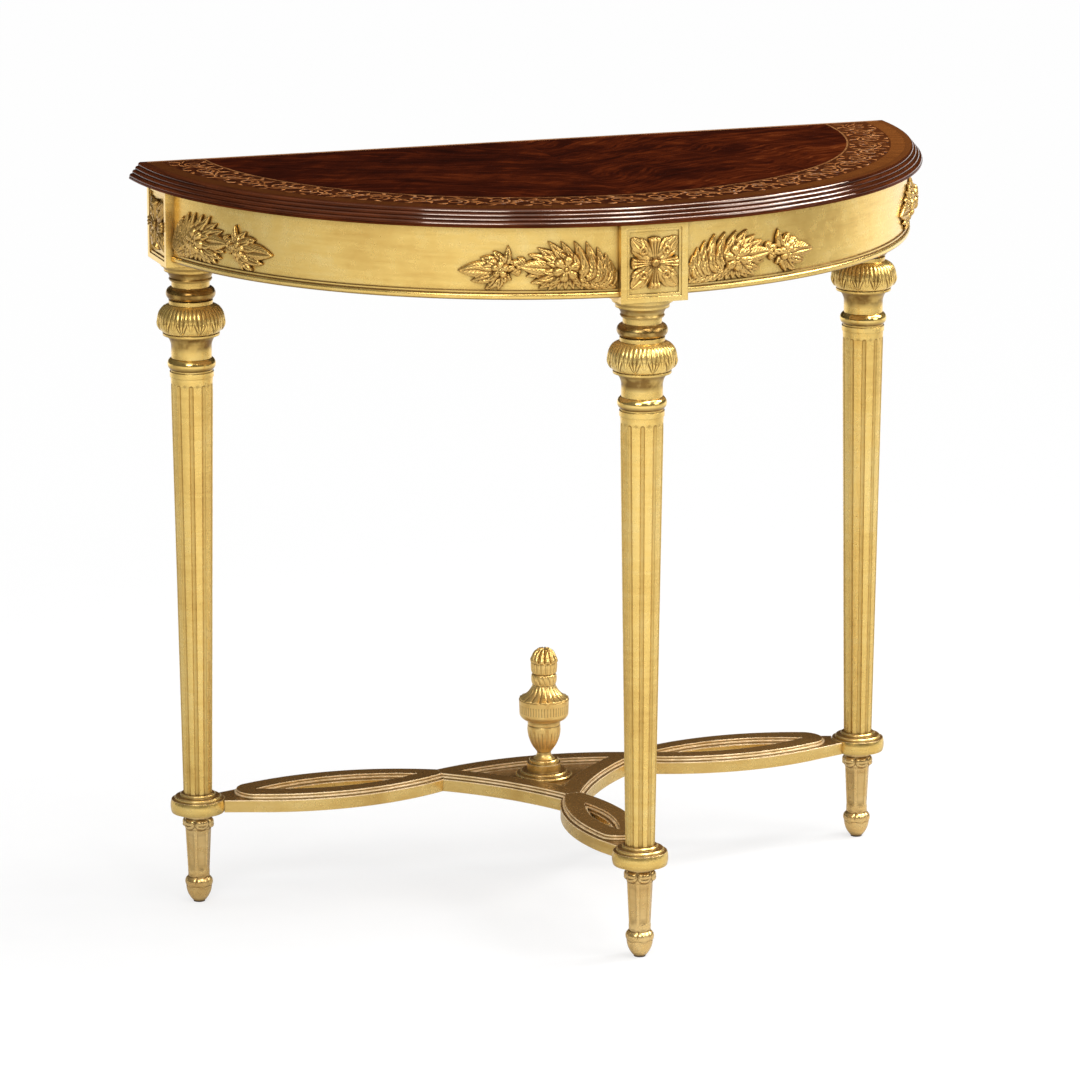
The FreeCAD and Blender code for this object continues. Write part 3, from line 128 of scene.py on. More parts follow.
class Relief:
    """Carving in low relief, painted leaf over leaf on a grid of heights."""

    EMPTY = -0.6

    def __init__(self, low, high, step):
        along = np.arange(low[0], high[0] + step, step)
        up = np.arange(low[1], high[1] + step, step)
        self.s, self.v = np.meshgrid(along, up, indexing="ij")
        self.h = np.full(self.s.shape, self.EMPTY)
        self.extra_darkness = np.zeros(self.s.shape)

    def lay(self, inside, height):
        cover = inside & (height > self.h)
        self.h = np.where(cover, height, self.h)

    def axes(self, base, tip, bend=0):
        """Share along the line from base to tip, free and limited to it, and the distance across."""
        run = np.subtract(tip, base)
        length = math.hypot(*run)
        s = self.s - base[0]
        v = self.v - base[1]
        along = (s * run[0] + v * run[1]) / length ** 2
        across = (v * run[0] - s * run[1]) / length
        inner = np.clip(along, 0, 1)
        return along, inner, across - bend * 4 * inner * (1 - inner)

    def leaf(self, base, tip, width, lift, rise, ribs, bend=0, full=0.8):
        """Leaf with a sunk midrib and slanting veins; a small value of full gives a blunt tip."""
        along, t, across = self.axes(base, tip, bend)
        half = np.maximum(width / 2 * np.sin(math.pi * t ** 0.72) ** full, LEAST_WIDTH)
        inside = (along > 0) & (along < 1) & (np.abs(across) < half)
        u = np.clip(np.abs(across) / half, 0, 1)
        dome = np.sqrt(1 - u * u)
        crease = bell(across, 0, 0.11 * width)
        veins = np.cos(FULL_TURN * ribs * (t - 0.3 * u)) * np.minimum(u * 2, 1) * dome
        reeds = np.cos(FULL_TURN * 1.5 * u) * dome * np.minimum(4 * t, 1)
        body = (0.3 + 0.7 * dome) * (0.6 + 0.4 * np.sin(math.pi * t ** 0.8))
        self.lay(inside, lift + rise * (body - 0.2 * crease + 0.08 * veins - 0.07 * reeds))

    def fan(self, base, tip, base_width, tip_width, lift, rise, ribs):
        """Petal that widens to a rolled end, with ribs that spread from its root."""
        along, t, across = self.axes(base, tip)
        half = (base_width + (tip_width - base_width) * t ** 1.4) / 2
        end = 1 - 0.08 * (1 - (across / half) ** 2)
        inside = (along > 0) & (along < 2 - end) & (np.abs(across) < half)
        u = across / half
        roll = bell(along, 0.9, 0.09)
        flute = np.cos(math.pi * ribs * u)
        edge = np.sqrt(np.clip(1 - u ** 6, 0, 1))
        self.lay(inside, lift + rise * edge * (0.5 + 0.2 * t + 0.16 * flute + 0.34 * roll))

    def dome(self, centre, radius, lift, rise):
        self.ring(centre, 0, radius, lift, rise)

    def ring(self, centre, radius, thick, lift, rise):
        reach = (np.hypot(self.s - centre[0], self.v - centre[1]) - radius) / thick
        self.lay(np.abs(reach) < 1, lift + rise * np.sqrt(np.clip(1 - reach ** 2, 0, 1)))

    def flower(self, centre, radius, petals, lift, rise, turn=0):
        """Open flower: cupped round petals about a button."""
        s = self.s - centre[0]
        v = self.v - centre[1]
        reach = np.hypot(s, v) / radius
        lobe = lobes(petals, np.arctan2(v, s) + turn)
        edge = 0.66 + 0.34 * lobe ** 0.6
        share = np.clip(reach / edge, 0, 1)
        cup = 0.35 + 0.65 * np.sin(math.pi * share ** 1.3) ** 0.7
        cleft = 0.3 + 0.7 * lobe ** 0.4
        crease = 0.16 * bell(lobe, 1, 0.02) * share
        self.lay(reach < edge, lift + rise * (cup * cleft - crease))
        self.ring(centre, radius * 0.26, radius * 0.1, lift, rise * 0.9)
        self.dome(centre, radius * 0.2, lift + rise * 0.2, rise * 0.9)

    def solid(self, name, place, floor):
        """Closed mesh: the carved face over a flat back, both put in place by a function of s, v, h.

        Every cell is split through a raised corner, so that no triangle has only rim points.
        """
        carved = np.maximum(soften(self.h, 1), self.EMPTY)
        solid = self.h > self.EMPTY
        cells = solid[:-1, :-1] | solid[1:, :-1] | solid[:-1, 1:] | solid[1:, 1:]
        pad = np.pad(cells.astype(int), 1)
        count = pad[:-1, :-1] + pad[1:, :-1] + pad[:-1, 1:] + pad[1:, 1:]
        used = count > 0
        rim = used & (count < 4)
        face_height = np.where(rim, floor, carved)
        hollow = hollows(carved, 10, 1.4, self.extra_darkness)
        front = -np.ones(self.h.shape, int)
        front[used] = np.arange(used.sum())
        inner = used & ~rim
        rear = front.copy()
        rear[inner] = used.sum() + np.arange(inner.sum())
        points = np.concatenate([
            place(self.s[used], self.v[used], face_height[used]),
            place(self.s[inner], self.v[inner], np.full(inner.sum(), floor)),
        ])
        i, j = np.nonzero(cells)
        square = (np.stack([i, i + 1, i + 1, i], 1), np.stack([j, j, j + 1, j + 1], 1))
        raised = inner[square]
        turn = (raised.argmax(1)[:, None] + np.arange(4)) % 4
        top = np.take_along_axis(front[square], turn, 1)[raised.any(1)]
        under = np.take_along_axis(rear[square], turn, 1)[raised.any(1)]
        faces = np.concatenate([
            top[:, [0, 1, 2]], top[:, [0, 2, 3]], under[:, [0, 2, 1]], under[:, [0, 3, 2]]]).tolist()
        depth = np.concatenate([hollow[used], np.ones(inner.sum())])
        return mesh_object(name, points, faces, depth)


# Carving on the frieze

# Leaves of a spray from the block outwards: root, tip, width, lift, rise and bend.
SPRAY_LEAVES = (
    # Great fan, from its back layer to its front one.
    (8, 3, 3, 22, 9, 0.8, 3.6, 2), (14, 4, 8, 31, 11, 0.8, 4, 3), (20, 6, 14, 39, 12, 1, 4.4, 4),
    (27, 8, 23, 46, 12, 1, 4.6, 5), (34, 10, 35, 52, 13, 1, 4.8, 5), (42, 12, 48, 53, 13, 1.2, 4.8, 5),
    (50, 14, 62, 53, 13, 1.2, 4.8, 4), (56, 18, 76, 53, 13, 1.2, 4.6, 4), (60, 22, 87, 46, 12, 1, 4.4, 3),
    (64, 24, 97, 39, 12, 1, 4.2, 2), (72, 20, 99, 15, 10, 1, 4.2, 1), (70, 19, 94, 8, 10, 1.2, 4.2, -2),
    (68, 18, 86, 2, 10, 1.2, 4.2, -2), (64, 17, 76, 0, 9, 1.2, 4, -2), (60, 17, 66, 0, 8, 1, 3.6, -1),
    (56, 16, 57, 0, 8, 1, 3.4, 0), (52, 15, 48, 0, 8, 1, 3.4, 0), (44, 13, 38, 0, 9, 1.2, 3.8, 1),
    (36, 10, 28, 0, 9, 1.4, 3.8, 1), (28, 8, 18, 0, 9, 1.4, 3.6, 1), (20, 7, 9, 0, 8, 1.4, 3.4, 1),
    (14, 7, 1, 1, 8, 1.2, 3.2, 1), (16, 5, 8, 20, 8, 3.2, 3.8, 3), (22, 6, 15, 27, 9, 3.4, 4.2, 3),
    (28, 8, 22, 35, 10, 3.6, 4.4, 4), (35, 10, 31, 42, 10, 3.8, 4.6, 4), (42, 12, 43, 46, 10, 4, 4.6, 4),
    (50, 16, 57, 46, 10, 4, 4.6, 3), (58, 22, 71, 45, 10, 3.8, 4.4, 3), (62, 25, 82, 38, 10, 3.6, 4.4, 2),
    (70, 23, 107, 26, 17, 3, 4.8, 1), (66, 19, 87, 12, 9, 3.4, 4.4, -2), (63, 17, 76, 6, 8, 3.4, 4.2, -2),
    (48, 14, 40, 6, 8, 3.4, 4, 1), (40, 11, 30, 4, 8, 3.4, 3.8, 1), (30, 8, 20, 3, 8, 3.2, 3.6, 1),
    (22, 7, 10, 4, 7, 3, 3.4, 1), (26, 8, 22, 25, 8, 5.6, 3.8, 3), (34, 10, 29, 32, 9, 5.8, 4, 3),
    (41, 13, 38, 37, 9, 6, 4.2, 3), (48, 18, 48, 40, 9, 6, 4.2, 2), (56, 26, 62, 41, 8, 5.8, 4.2, 2),
    (62, 26, 78, 31, 9, 5.6, 4.2, 1), (64, 22, 82, 21, 9, 5.6, 4.2, -1), (61, 18, 70, 9, 7, 5.4, 4, -1),
    (50, 17, 43, 10, 7, 5.4, 3.8, 1), (42, 14, 34, 11, 7, 5.4, 3.6, 1), (36, 14, 29, 20, 7, 7.2, 3.4, 2),
    (43, 18, 39, 28, 7, 7.4, 3.4, 2),
    # Leaves round the buds between the two fans.
    (102, 27, 118, 31, 8, 1.4, 4.4, 1), (104, 24, 116, 19, 8, 1.4, 4.2, -1),
    (100, 29, 108, 36, 7, 1.4, 3.8, 1), (106, 22, 109, 15, 6, 1.2, 3.6, 0),
    # Small fan, from its back layer to its front one.
    (122, 25, 118, 49, 9, 1.6, 5, 2), (124, 27, 134, 43, 10, 1.2, 4.6, 2),
    (128, 27, 148, 35, 12, 1.2, 4.6, 2), (128, 22, 172, 21, 19, 1, 5.4, 1),
    (130, 17, 158, 10, 11, 1.4, 4.8, -1), (128, 16, 143, 1, 10, 1.4, 4.6, -2),
    (125, 17, 129, 0, 8, 1.2, 4.4, -1), (122, 19, 114, 11, 8, 1.2, 4.2, 1),
    (128, 25, 150, 24, 9, 4, 3.8, 1), (128, 27, 142, 33, 9, 3.6, 4.4, 1),
    (124, 28, 126, 40, 8, 3.4, 4.4, 1), (128, 20, 141, 11, 8, 3.6, 4.2, -1),
    (122, 24, 111, 27, 8, 3.2, 4.2, 1), (124, 18, 120, 8, 7, 3.2, 4, 0),
)
# Rounded masses under the leaves, low and high: place and radius.
SPRAY_GROUND = ((22, 14, 12), (38, 20, 17), (56, 23, 19), (76, 24, 15), (92, 25, 9), (128, 22, 13))
SPRAY_MOUNDS = ((38, 14, 9), (25, 8.5, 7), (50, 17, 9), (31, 11, 7), (64, 20, 8), (126, 21, 8))
SPRAY_BUDS = ((110, 29), (106.5, 25.5), (112.5, 24.5))
# The four sprays: name, angle of the middle in degrees, and which way it runs from its block.
SPRAY_SIDES = (
    ("left_end", -66.9, 1), ("left_front", -16.2, -1), ("right_front", 16.2, 1), ("right_end", 66.9, -1),
)
SPRAY_FOOT = corners("spray_left_end")[0][2]
SPRAY_LENGTH = 172
SPRAY_HEIGHT = 54
SPRAY_MARGIN = 3
SPRAY_GRID = 0.55
SPRAY_BACK = -0.6
RIB_SPACING = 4
FRIEZE_RADIUS = 440


def spray_relief():
    far = (SPRAY_LENGTH + SPRAY_MARGIN, SPRAY_HEIGHT + SPRAY_MARGIN)
    relief = Relief((-SPRAY_MARGIN, -SPRAY_MARGIN), far, SPRAY_GRID)
    for s, v, radius in SPRAY_GROUND:
        relief.dome((s, v), radius, lift=-0.2, rise=2.4)
    for s, v, radius in SPRAY_MOUNDS:
        relief.dome((s, v), radius, lift=1.6, rise=3.6)
    for s0, v0, s1, v1, width, lift, rise, bend in SPRAY_LEAVES:
        ribs = max(3, round(math.hypot(s1 - s0, v1 - v0) / RIB_SPACING))
        relief.leaf((s0, v0), (s1, v1), width, lift, rise, ribs, bend)
    relief.flower((57, 24), radius=14.5, petals=6, lift=8.2, rise=5.2, turn=0.3)
    relief.flower((126, 23.5), radius=9.6, petals=5, lift=6.4, rise=4.2, turn=0.9)
    for bud in SPRAY_BUDS:
        relief.dome(bud, radius=2.4, lift=4, rise=2.4)
    return relief


def make_sprays():
    """One relief, bent to the frieze four times."""
    relief = spray_relief()
    for name, degrees, side in SPRAY_SIDES:
        centre = math.radians(degrees)

        def place(s, v, h):
            angle = centre + side * (s - SPRAY_LENGTH / 2) / FRIEZE_RADIUS
            return turned(TOP_AXIS, FRIEZE_RADIUS + h, angle, SPRAY_FOOT + v)

        piece = relief.solid("carved_spray_" + name, place, SPRAY_BACK)
        if side < 0:
            piece.data.flip_normals()
        finish_piece(piece, "gilded_wood", RELIEF, "spray_" + name)


ROSETTE_HALF = (32, 33)
ROSETTE_GRID = 0.45
ROSETTE_BACK = -0.3
ROSETTE_TURNS = {"left": -90, "front": 0, "right": 90}
BUTTON_RADIUS = 7.4
BLOCK_MIDDLE = middle("leg_block_front")[2]
PANEL_REACH = LEG_PLACES["front"][1] - corners("rosette_front")[1][1]


def rosette_relief():
    """Lobed leaves to the corners with an eye on each, four fans between them and a dark button."""
    relief = Relief(np.negative(ROSETTE_HALF), ROSETTE_HALF, ROSETTE_GRID)
    for x in (-1, 1):
        for z in (-1, 1):
            relief.leaf((2 * x, 2 * z), (26 * x, 27 * z), 19, lift=0.3, rise=4.6, ribs=2, full=0.45)
            relief.leaf((8 * x, 5 * z), (26 * x, 15 * z), 11, lift=0.3, rise=4.4, ribs=2, full=0.5)
            relief.leaf((5 * x, 8 * z), (15 * x, 27 * z), 11, lift=0.3, rise=4.4, ribs=2, full=0.5)
            eye = (13 * x, 13.4 * z)
            relief.ring(eye, radius=3.6, thick=1.6, lift=3.6, rise=2.2)
            relief.dome(eye, radius=1.4, lift=2.6, rise=1)
    for x, z, wide in ((0, 26, 15), (0, -27, 15), (25, 0, 13), (-25, 0, 13)):
        reach = math.hypot(x, z)
        root = (x * 3 / reach, z * 3 / reach)
        relief.fan(root, (x, z), base_width=4, tip_width=wide, lift=2.2, rise=4.6, ribs=3)
    relief.dome((0, 0), radius=4.4, lift=4.2, rise=4.4)
    relief.ring((0, 0), radius=5.9, thick=1.3, lift=2.6, rise=1.2)
    # The button is made darker: this share adds to its hollow share and so to the brown of the painted
    # shade.
    relief.extra_darkness = np.where(np.hypot(relief.s, relief.v) < BUTTON_RADIUS, 0.24, 0)
    return relief


def make_rosettes():
    relief = rosette_relief()
    for name, degrees in ROSETTE_TURNS.items():
        x, y = LEG_PLACES[name]
        angle = math.radians(degrees)

        def place(s, v, h):
            out = PANEL_REACH + h
            px = x + s * math.cos(angle) + out * math.sin(angle)
            py = y + s * math.sin(angle) - out * math.cos(angle)
            return np.stack([px, py, BLOCK_MIDDLE + v], 1)

        piece = relief.solid("carved_rosette_" + name, place, ROSETTE_BACK)
        finish_piece(piece, "gilded_wood", RELIEF, "rosette_" + name)


# Turned pieces with carving round them


def profile(rows, spacing):
    """Points of a turned section from rows of radius, level and the bow of the edge that follows."""
    points = []
    for (*start, bow), (*end, _) in zip(rows, rows[1:]):
        run = np.subtract(end, start)
        chord = math.hypot(*run)
        share = np.linspace(0, 1, max(2, int(chord / spacing)), endpoint=False)[:, None]
        swell = 4 * bow * share * (1 - share)
        points.append(start + run * share + swell * (run[1], -run[0]) / chord)
    points.append([rows[-1][:2]])
    return np.concatenate(points)


RING_WALL = 2
FINE_SPACING = 0.5
FOOT_SPACING = 0.7


def lathe(name, axis, section, around, shape, closed=True):
    """Turn a section about an upright axis; shape(angle, r, z) returns the carved r and z.

    A section that is not closed by end discs becomes a ring with a plain inner wall.
    """
    angle = np.arange(around) * FULL_TURN / around
    r, a = np.meshgrid(section[:, 0], angle, indexing="ij")
    z = np.repeat(section[:, 1][:, None], around, 1)
    carved_r, carved_z = shape(a, r, z)
    hollow = hollows(carved_r, 8, 0.65)
    points = turned(axis, carved_r, a, carved_z)
    if not closed:
        rims = [-1, 0]
        wall = carved_r[rims] - RING_WALL
        points = np.concatenate([points, turned(axis, wall, a[rims], carved_z[rims])])
        hollow = np.concatenate([hollow, np.ones_like(wall)])
    index = np.arange(hollow.size).reshape(-1, around)
    if not closed:
        index = np.concatenate([index, index[:1]])
    after = np.roll(index, -1, 1)
    faces = np.stack([index[:-1], after[:-1], after[1:], index[1:]], 2).reshape(-1, 4).tolist()
    if closed:
        faces += [index[0][::-1].tolist(), index[-1].tolist()]
    return mesh_object(name, points.reshape(-1, 3), faces, hollow.reshape(-1))


BULB_TOP = 691.5
BULB_FOOT = 659.1
BULB_SECTION = ((30.4, BULB_FOOT, 2.4), (36.4, 674, 3.6), (24.6, BULB_TOP, 0))
BULB_AROUND = 384
BULB_LEAVES = 11
BULB_PROUD = 0.12


def hanging_leaf(fall, across, half_width, length, fullness):
    """How far points are inside a leaf that hangs from the top, and where they are across it."""
    half = half_width * np.sin(math.pi * np.clip(fall / length, 0, 1) ** fullness) ** 0.6
    half = np.maximum(half, LEAST_WIDTH)
    return np.clip((half - np.abs(across)) / 0.05, 0, 1) * (fall < length), across / half


def bulb_shape(angle, r, z):
    """Hanging leaves with reeded veins round the bulb, shorter ones showing between them."""
    fall = (BULB_TOP - z) / (BULB_TOP - BULB_FOOT)
    cell = (angle * BULB_LEAVES / FULL_TURN + 0.5) % 1 - 0.5
    main_in, u = hanging_leaf(fall, cell, 0.4, 0.92, 0.5)
    main = (0.66 + 0.34 * np.cos(FULL_TURN * 1.5 * u)) * np.sqrt(np.clip(1 - 0.5 * u * u, 0, 1))
    rear_in, w = hanging_leaf(fall, np.abs(cell) - 0.5, 0.3, 0.8, 0.6)
    rear = (0.6 + 0.4 * np.cos(FULL_TURN * w)) * 0.6
    curl = 0.75 + 0.5 * bell(fall, 0.66, 0.16)
    height = np.maximum(main * main_in * curl * 1.5, rear * rear_in * 1.3)
    fade = smooth_step(fall, 0.01, 0.12) * (1 - smooth_step(fall, 0.97, 1))
    return r + BULB_PROUD + height * fade, z


def make_bulbs():
    section = profile(BULB_SECTION, FINE_SPACING)
    for name, place in LEG_PLACES.items():
        piece = lathe("carved_bulb_" + name, place, section, BULB_AROUND, bulb_shape, closed=False)
        finish_piece(piece, "gilded_wood", CARVED)


FOOT_SECTION = (
    (0.5, 1.6, 0), (7, 1.6, 2), (14.6, 20, 2), (12, 30, 0), (14.8, 86.5, 0), (17.3, 93, 0.8),
    (14.8, 99, 0), (14.8, 105.9, 0), (0.5, 105.9, 0),
)
FOOT_AROUND = 180
FOOT_PETALS = 6
# Levels between which a foot is carved, and how far its petals hang below them.
FOOT_LIP = (91.5, 98)
LIP_ROLL = (92.5, 95.5)
FOOT_HOLLOWS = (40, 84)
TOE_CAP = (23.5, 31.5)
PETAL_DROP = 4.5


def foot_shape(angle, r, z):
    """Petals turned out at the lip, hollows down the shaft and a lobed cap on the toe."""
    lobe = lobes(FOOT_PETALS, angle)
    petal = lobe ** 0.5
    drop = PETAL_DROP * petal
    lip = band(z, FOOT_LIP[0] - drop, FOOT_LIP[1], 0.9)
    shaft = band(z, *FOOT_HOLLOWS, 5)
    cap = band(z, TOE_CAP[0] - drop, TOE_CAP[1], 0.8)
    hollow = np.sqrt(np.clip((lobe - 0.3) / 0.7, 0, 1))
    out = r + lip * (2.6 * petal - 2) - shaft * 1.7 * hollow + cap * (1.2 * petal - 0.8)
    out = out + band(z + drop, *LIP_ROLL, 0.8) * 1.2 * petal
    return np.maximum(out, LEAST_RADIUS), z


def make_feet():
    section = profile(FOOT_SECTION, FOOT_SPACING)
    for name, place in LEG_PLACES.items():
        piece = lathe("carved_foot_" + name, place, section, FOOT_AROUND, foot_shape)
        finish_piece(piece, "gilded_wood", TURNED, "foot_" + name)


URN_SECTION = (
    (0.5, 141, 0), (12.6, 141, -1.5), (8, 149, 4.4), (18.3, 186.4, 1.8), (28, 193.4, 0),
    (28.5, 206.8, 0), (28.8, 211, 0), (0.5, 211, 0),
)
CROWN_SECTION = (
    (0.5, 211.05, 0), (28, 211.05, 0), (28, 213.05, -2.7), (13.2, 228.6, 0.8), (13.8, 241.5, 0.6),
    (14.6, 257.5, 1.4), (7.5, 270.4, 0.4), (4.5, 271, 0), (0.5, 271, 0),
)
URN_AROUND = 364
CUP_LEAVES = 22
DRUM_REEDS = 52
CROWN_AROUND = 320
GADROONS = 18
LOWER_STEMS = 14
UPPER_STEMS = 16
CROWN_PETALS = 12
# Levels between which the finial is carved, from the cup up, with its two grooves.
CUP_REEDS = (154, 173)
URN_GROOVE = 181
DRUM = (196, 206)
SKIRT = (212, 227)
LOWER_TIER = (230, 240.3)
TIER_GROOVE = 241.6
UPPER_TIER = (243, 254)
PETAL_RING = (255.5, 268.5)


def urn_shape(angle, r, z):
    """Leaf-tipped reeds on the cup and close upright reeds on the drum between two plain rims."""
    ridge = lobes(CUP_LEAVES, angle)
    cup = band(z, CUP_REEDS[0], CUP_REEDS[1] + 4 * ridge, 1.5)
    drum = band(z, *DRUM, 0.7)
    fine = lobes(DRUM_REEDS, angle)
    out = r + cup * 0.75 * (ridge ** 0.7 - 0.6) + drum * (0.5 * fine ** 0.7 - 0.45)
    out = out - 0.5 * bell(z, URN_GROOVE, 0.7) * (r > 5)
    return np.maximum(out, LEAST_RADIUS), z


def crown_shape(angle, r, z):
    """Gadrooned skirt, two tiers of bound stems and a ring of drooping petals at the top."""
    gadroon = lobes(GADROONS, angle)
    skirt = band(z, *SKIRT, 1) * (r > 10)
    swell = np.interp(z, (211, 214, 229), (1.9, 2, 0.8))
    out = r + skirt * swell * (gadroon ** 0.5 - 0.85)
    twist = lobes(LOWER_STEMS, angle, 0.16 * (z - LOWER_TIER[0]))
    out = out + band(z, *LOWER_TIER, 0.8) * 1.1 * (twist ** 0.6 - 0.7)
    stem = lobes(UPPER_STEMS, angle)
    out = out + band(z, *UPPER_TIER, 0.8) * (stem ** 0.6 - 0.65)
    out = out - bell(z, TIER_GROOVE, 0.7) * (r > 5)
    petal = lobes(CROWN_PETALS, angle) ** 0.5
    droop = band(z, *PETAL_RING, 1) * (r > 5)
    out = out + droop * (1.5 - 4.2 * (1 - petal) - 0.8 * smooth_step(z, 257, 262))
    top = smooth_step(z, 263.5, 269) * np.clip((r - 1) / 6, 0, 1)
    return np.maximum(out, LEAST_RADIUS), z - top * 3.6 * (1 - petal)


def make_finial():
    for name, rows, around, shape in (
        ("urn", URN_SECTION, URN_AROUND, urn_shape), ("crown", CROWN_SECTION, CROWN_AROUND, crown_shape),
    ):
        piece = lathe("carved_" + name, FINIAL_AXIS, profile(rows, FINE_SPACING), around, shape)
        finish_piece(piece, "gilded_wood", FINIAL, "finial_" + name)


# Marquetry

BAND_INNER = BACK_EDGE - corners("top_stringing")[0][1]
BAND_OUTER = BACK_EDGE - corners("top_marquetry_band")[0][1]
BAND_MIDDLE = (BAND_INNER + BAND_OUTER) / 2
BAND_EDGE = 1
INLAY_PROUD = 0.05
INLAY_SUNK = 0.15
EYE_RADIUS = 1.7
HALF_WAVES = 28
WAVE_HEIGHT = 13
WAVE_ENDS = 26
WAVE_POINTS = 16
SCROLL_POINTS = 40
LEAF_POINTS = 12
EYE_POINTS = 14
# Leaves of a half wave, measured from its middle: root, tip, width and bend.
WAVE_LEAVES = (
    ((-11, 5), (-20, 20), 4.6, 0.25), ((-2, 14), (-9, 22), 4, -0.25),
    ((9, 7), (19, 19), 4.6, -0.25), ((-8, -14), (-18, -20), 4.6, 0.3),
    ((3, -17), (12, -22), 4.2, -0.2), ((14, -4), (22, -9), 4, 0.25),
)


class Inlay:
    """Thin shapes cut for the marquetry band, drawn along it (s) and across it (w)."""

    def __init__(self):
        self.points = []
        self.faces = []

    def slab(self, outline, quads):
        """Closed slab from an outline that runs round the shape and the faces of its upper side."""
        start = len(self.points)
        count = len(outline)
        for level in (INLAY_PROUD, -INLAY_SUNK):
            self.points += [(s, w, level) for s, w in outline]
        for quad in quads:
            self.faces.append([start + k for k in quad])
            self.faces.append([start + count + k for k in reversed(quad)])
        for k in range(count):
            after = (k + 1) % count
            self.faces.append([start + k, start + count + k, start + count + after, start + after])

    def strip(self, line, widths):
        run = np.gradient(line, axis=0)
        run = run / np.hypot(run[:, 0], run[:, 1])[:, None]
        normal = np.stack([-run[:, 1], run[:, 0]], 1) * widths[:, None] / 2
        count = len(line)
        outline = np.concatenate([line - normal, (line + normal)[::-1]])
        far = 2 * count - 1
        self.slab(outline.tolist(), [[k, k + 1, far - k - 1, far - k] for k in range(count - 1)])

    def leaf(self, root, tip, width, bend):
        t = np.linspace(0, 1, LEAF_POINTS)
        run = np.subtract(tip, root)
        side = np.array([-run[1], run[0]])
        line = root + t[:, None] * run + (bend * 4 * t * (1 - t))[:, None] * side
        self.strip(line, width * np.sin(math.pi * t ** 0.7) ** 0.9 + 0.12)

    def scroll(self, centre, start, turns, outer, inner, width, way):
        t = np.linspace(0, 1, SCROLL_POINTS)
        angle = start + way * turns * FULL_TURN * t
        reach = outer + (inner - outer) * t ** 0.85
        line = np.stack([centre[0] + reach * np.cos(angle), centre[1] + reach * np.sin(angle)], 1)
        self.strip(line, width * (1 - 0.45 * t))
        turn = np.arange(EYE_POINTS) * FULL_TURN / EYE_POINTS
        eye = line[-1] + EYE_RADIUS * np.stack([np.cos(turn), np.sin(turn)], 1)
        self.slab(eye.tolist(), [list(range(EYE_POINTS))])


def make_marquetry():
    """Waved stem with a curled scroll and leaves in every half wave, alternately in and out."""
    inlay = Inlay()
    half = (math.pi * BAND_MIDDLE - WAVE_ENDS) / HALF_WAVES
    first = -half * HALF_WAVES / 2
    s = np.linspace(first, -first, HALF_WAVES * WAVE_POINTS)
    wave = WAVE_HEIGHT * np.sin(math.pi * (s - first) / half)
    inlay.strip(np.stack([s, wave], 1), 2.1 + 0.5 * np.cos(s / 3.1))
    for k in range(HALF_WAVES):
        centre = first + (k + 0.5) * half
        side = 1 if k % 2 == 0 else -1
        inlay.scroll(
            (centre, -3.5 * side), start=-side * 0.25 * math.pi, turns=1.3, outer=13.5, inner=4.2,
            width=2.6, way=side)
        for root, tip, width, bend in WAVE_LEAVES:
            inlay.leaf(
                (centre + root[0], root[1] * side), (centre + tip[0], tip[1] * side), width, bend * side)
    s, w, level = np.transpose(inlay.points)
    reach = np.clip(BAND_MIDDLE + w, BAND_INNER + BAND_EDGE, BAND_OUTER - BAND_EDGE)
    points = turned(TOP_AXIS, reach, s / BAND_MIDDLE, TOP_LEVEL + level)
    piece = mesh_object("marquetry_inlay", points, inlay.faces)
    finish_piece(piece, "marquetry", INLAY)


# Materials, with lengths in metres

WHITE = (1, 1, 1, 1)


class Number:
    """A number that varies from place to place; arithmetic with it adds nodes to its tree."""

    def __init__(self, nodes, socket):
        self.nodes = nodes
        self.socket = socket

    def __add__(self, other):
        return self.nodes.math("ADD", self, other)

    def __sub__(self, other):
        return self.nodes.math("SUBTRACT", self, other)

    def __rsub__(self, other):
        return self.nodes.math("SUBTRACT", other, self)

    def __mul__(self, other):
        return self.nodes.math("MULTIPLY", self, other)

    def __abs__(self):
        return self.nodes.math("ABSOLUTE", self)

    def most(self, other):
        return self.nodes.math("MAXIMUM", self, other)

    def level(self, low, high, to_low=0, to_high=1):
        """The run from low to high spread over another run, and clamped at its ends."""
        return self.nodes.number("MapRange", "Result", {
            "Value": self, "From Min": low, "From Max": high, "To Min": to_low, "To Max": to_high})


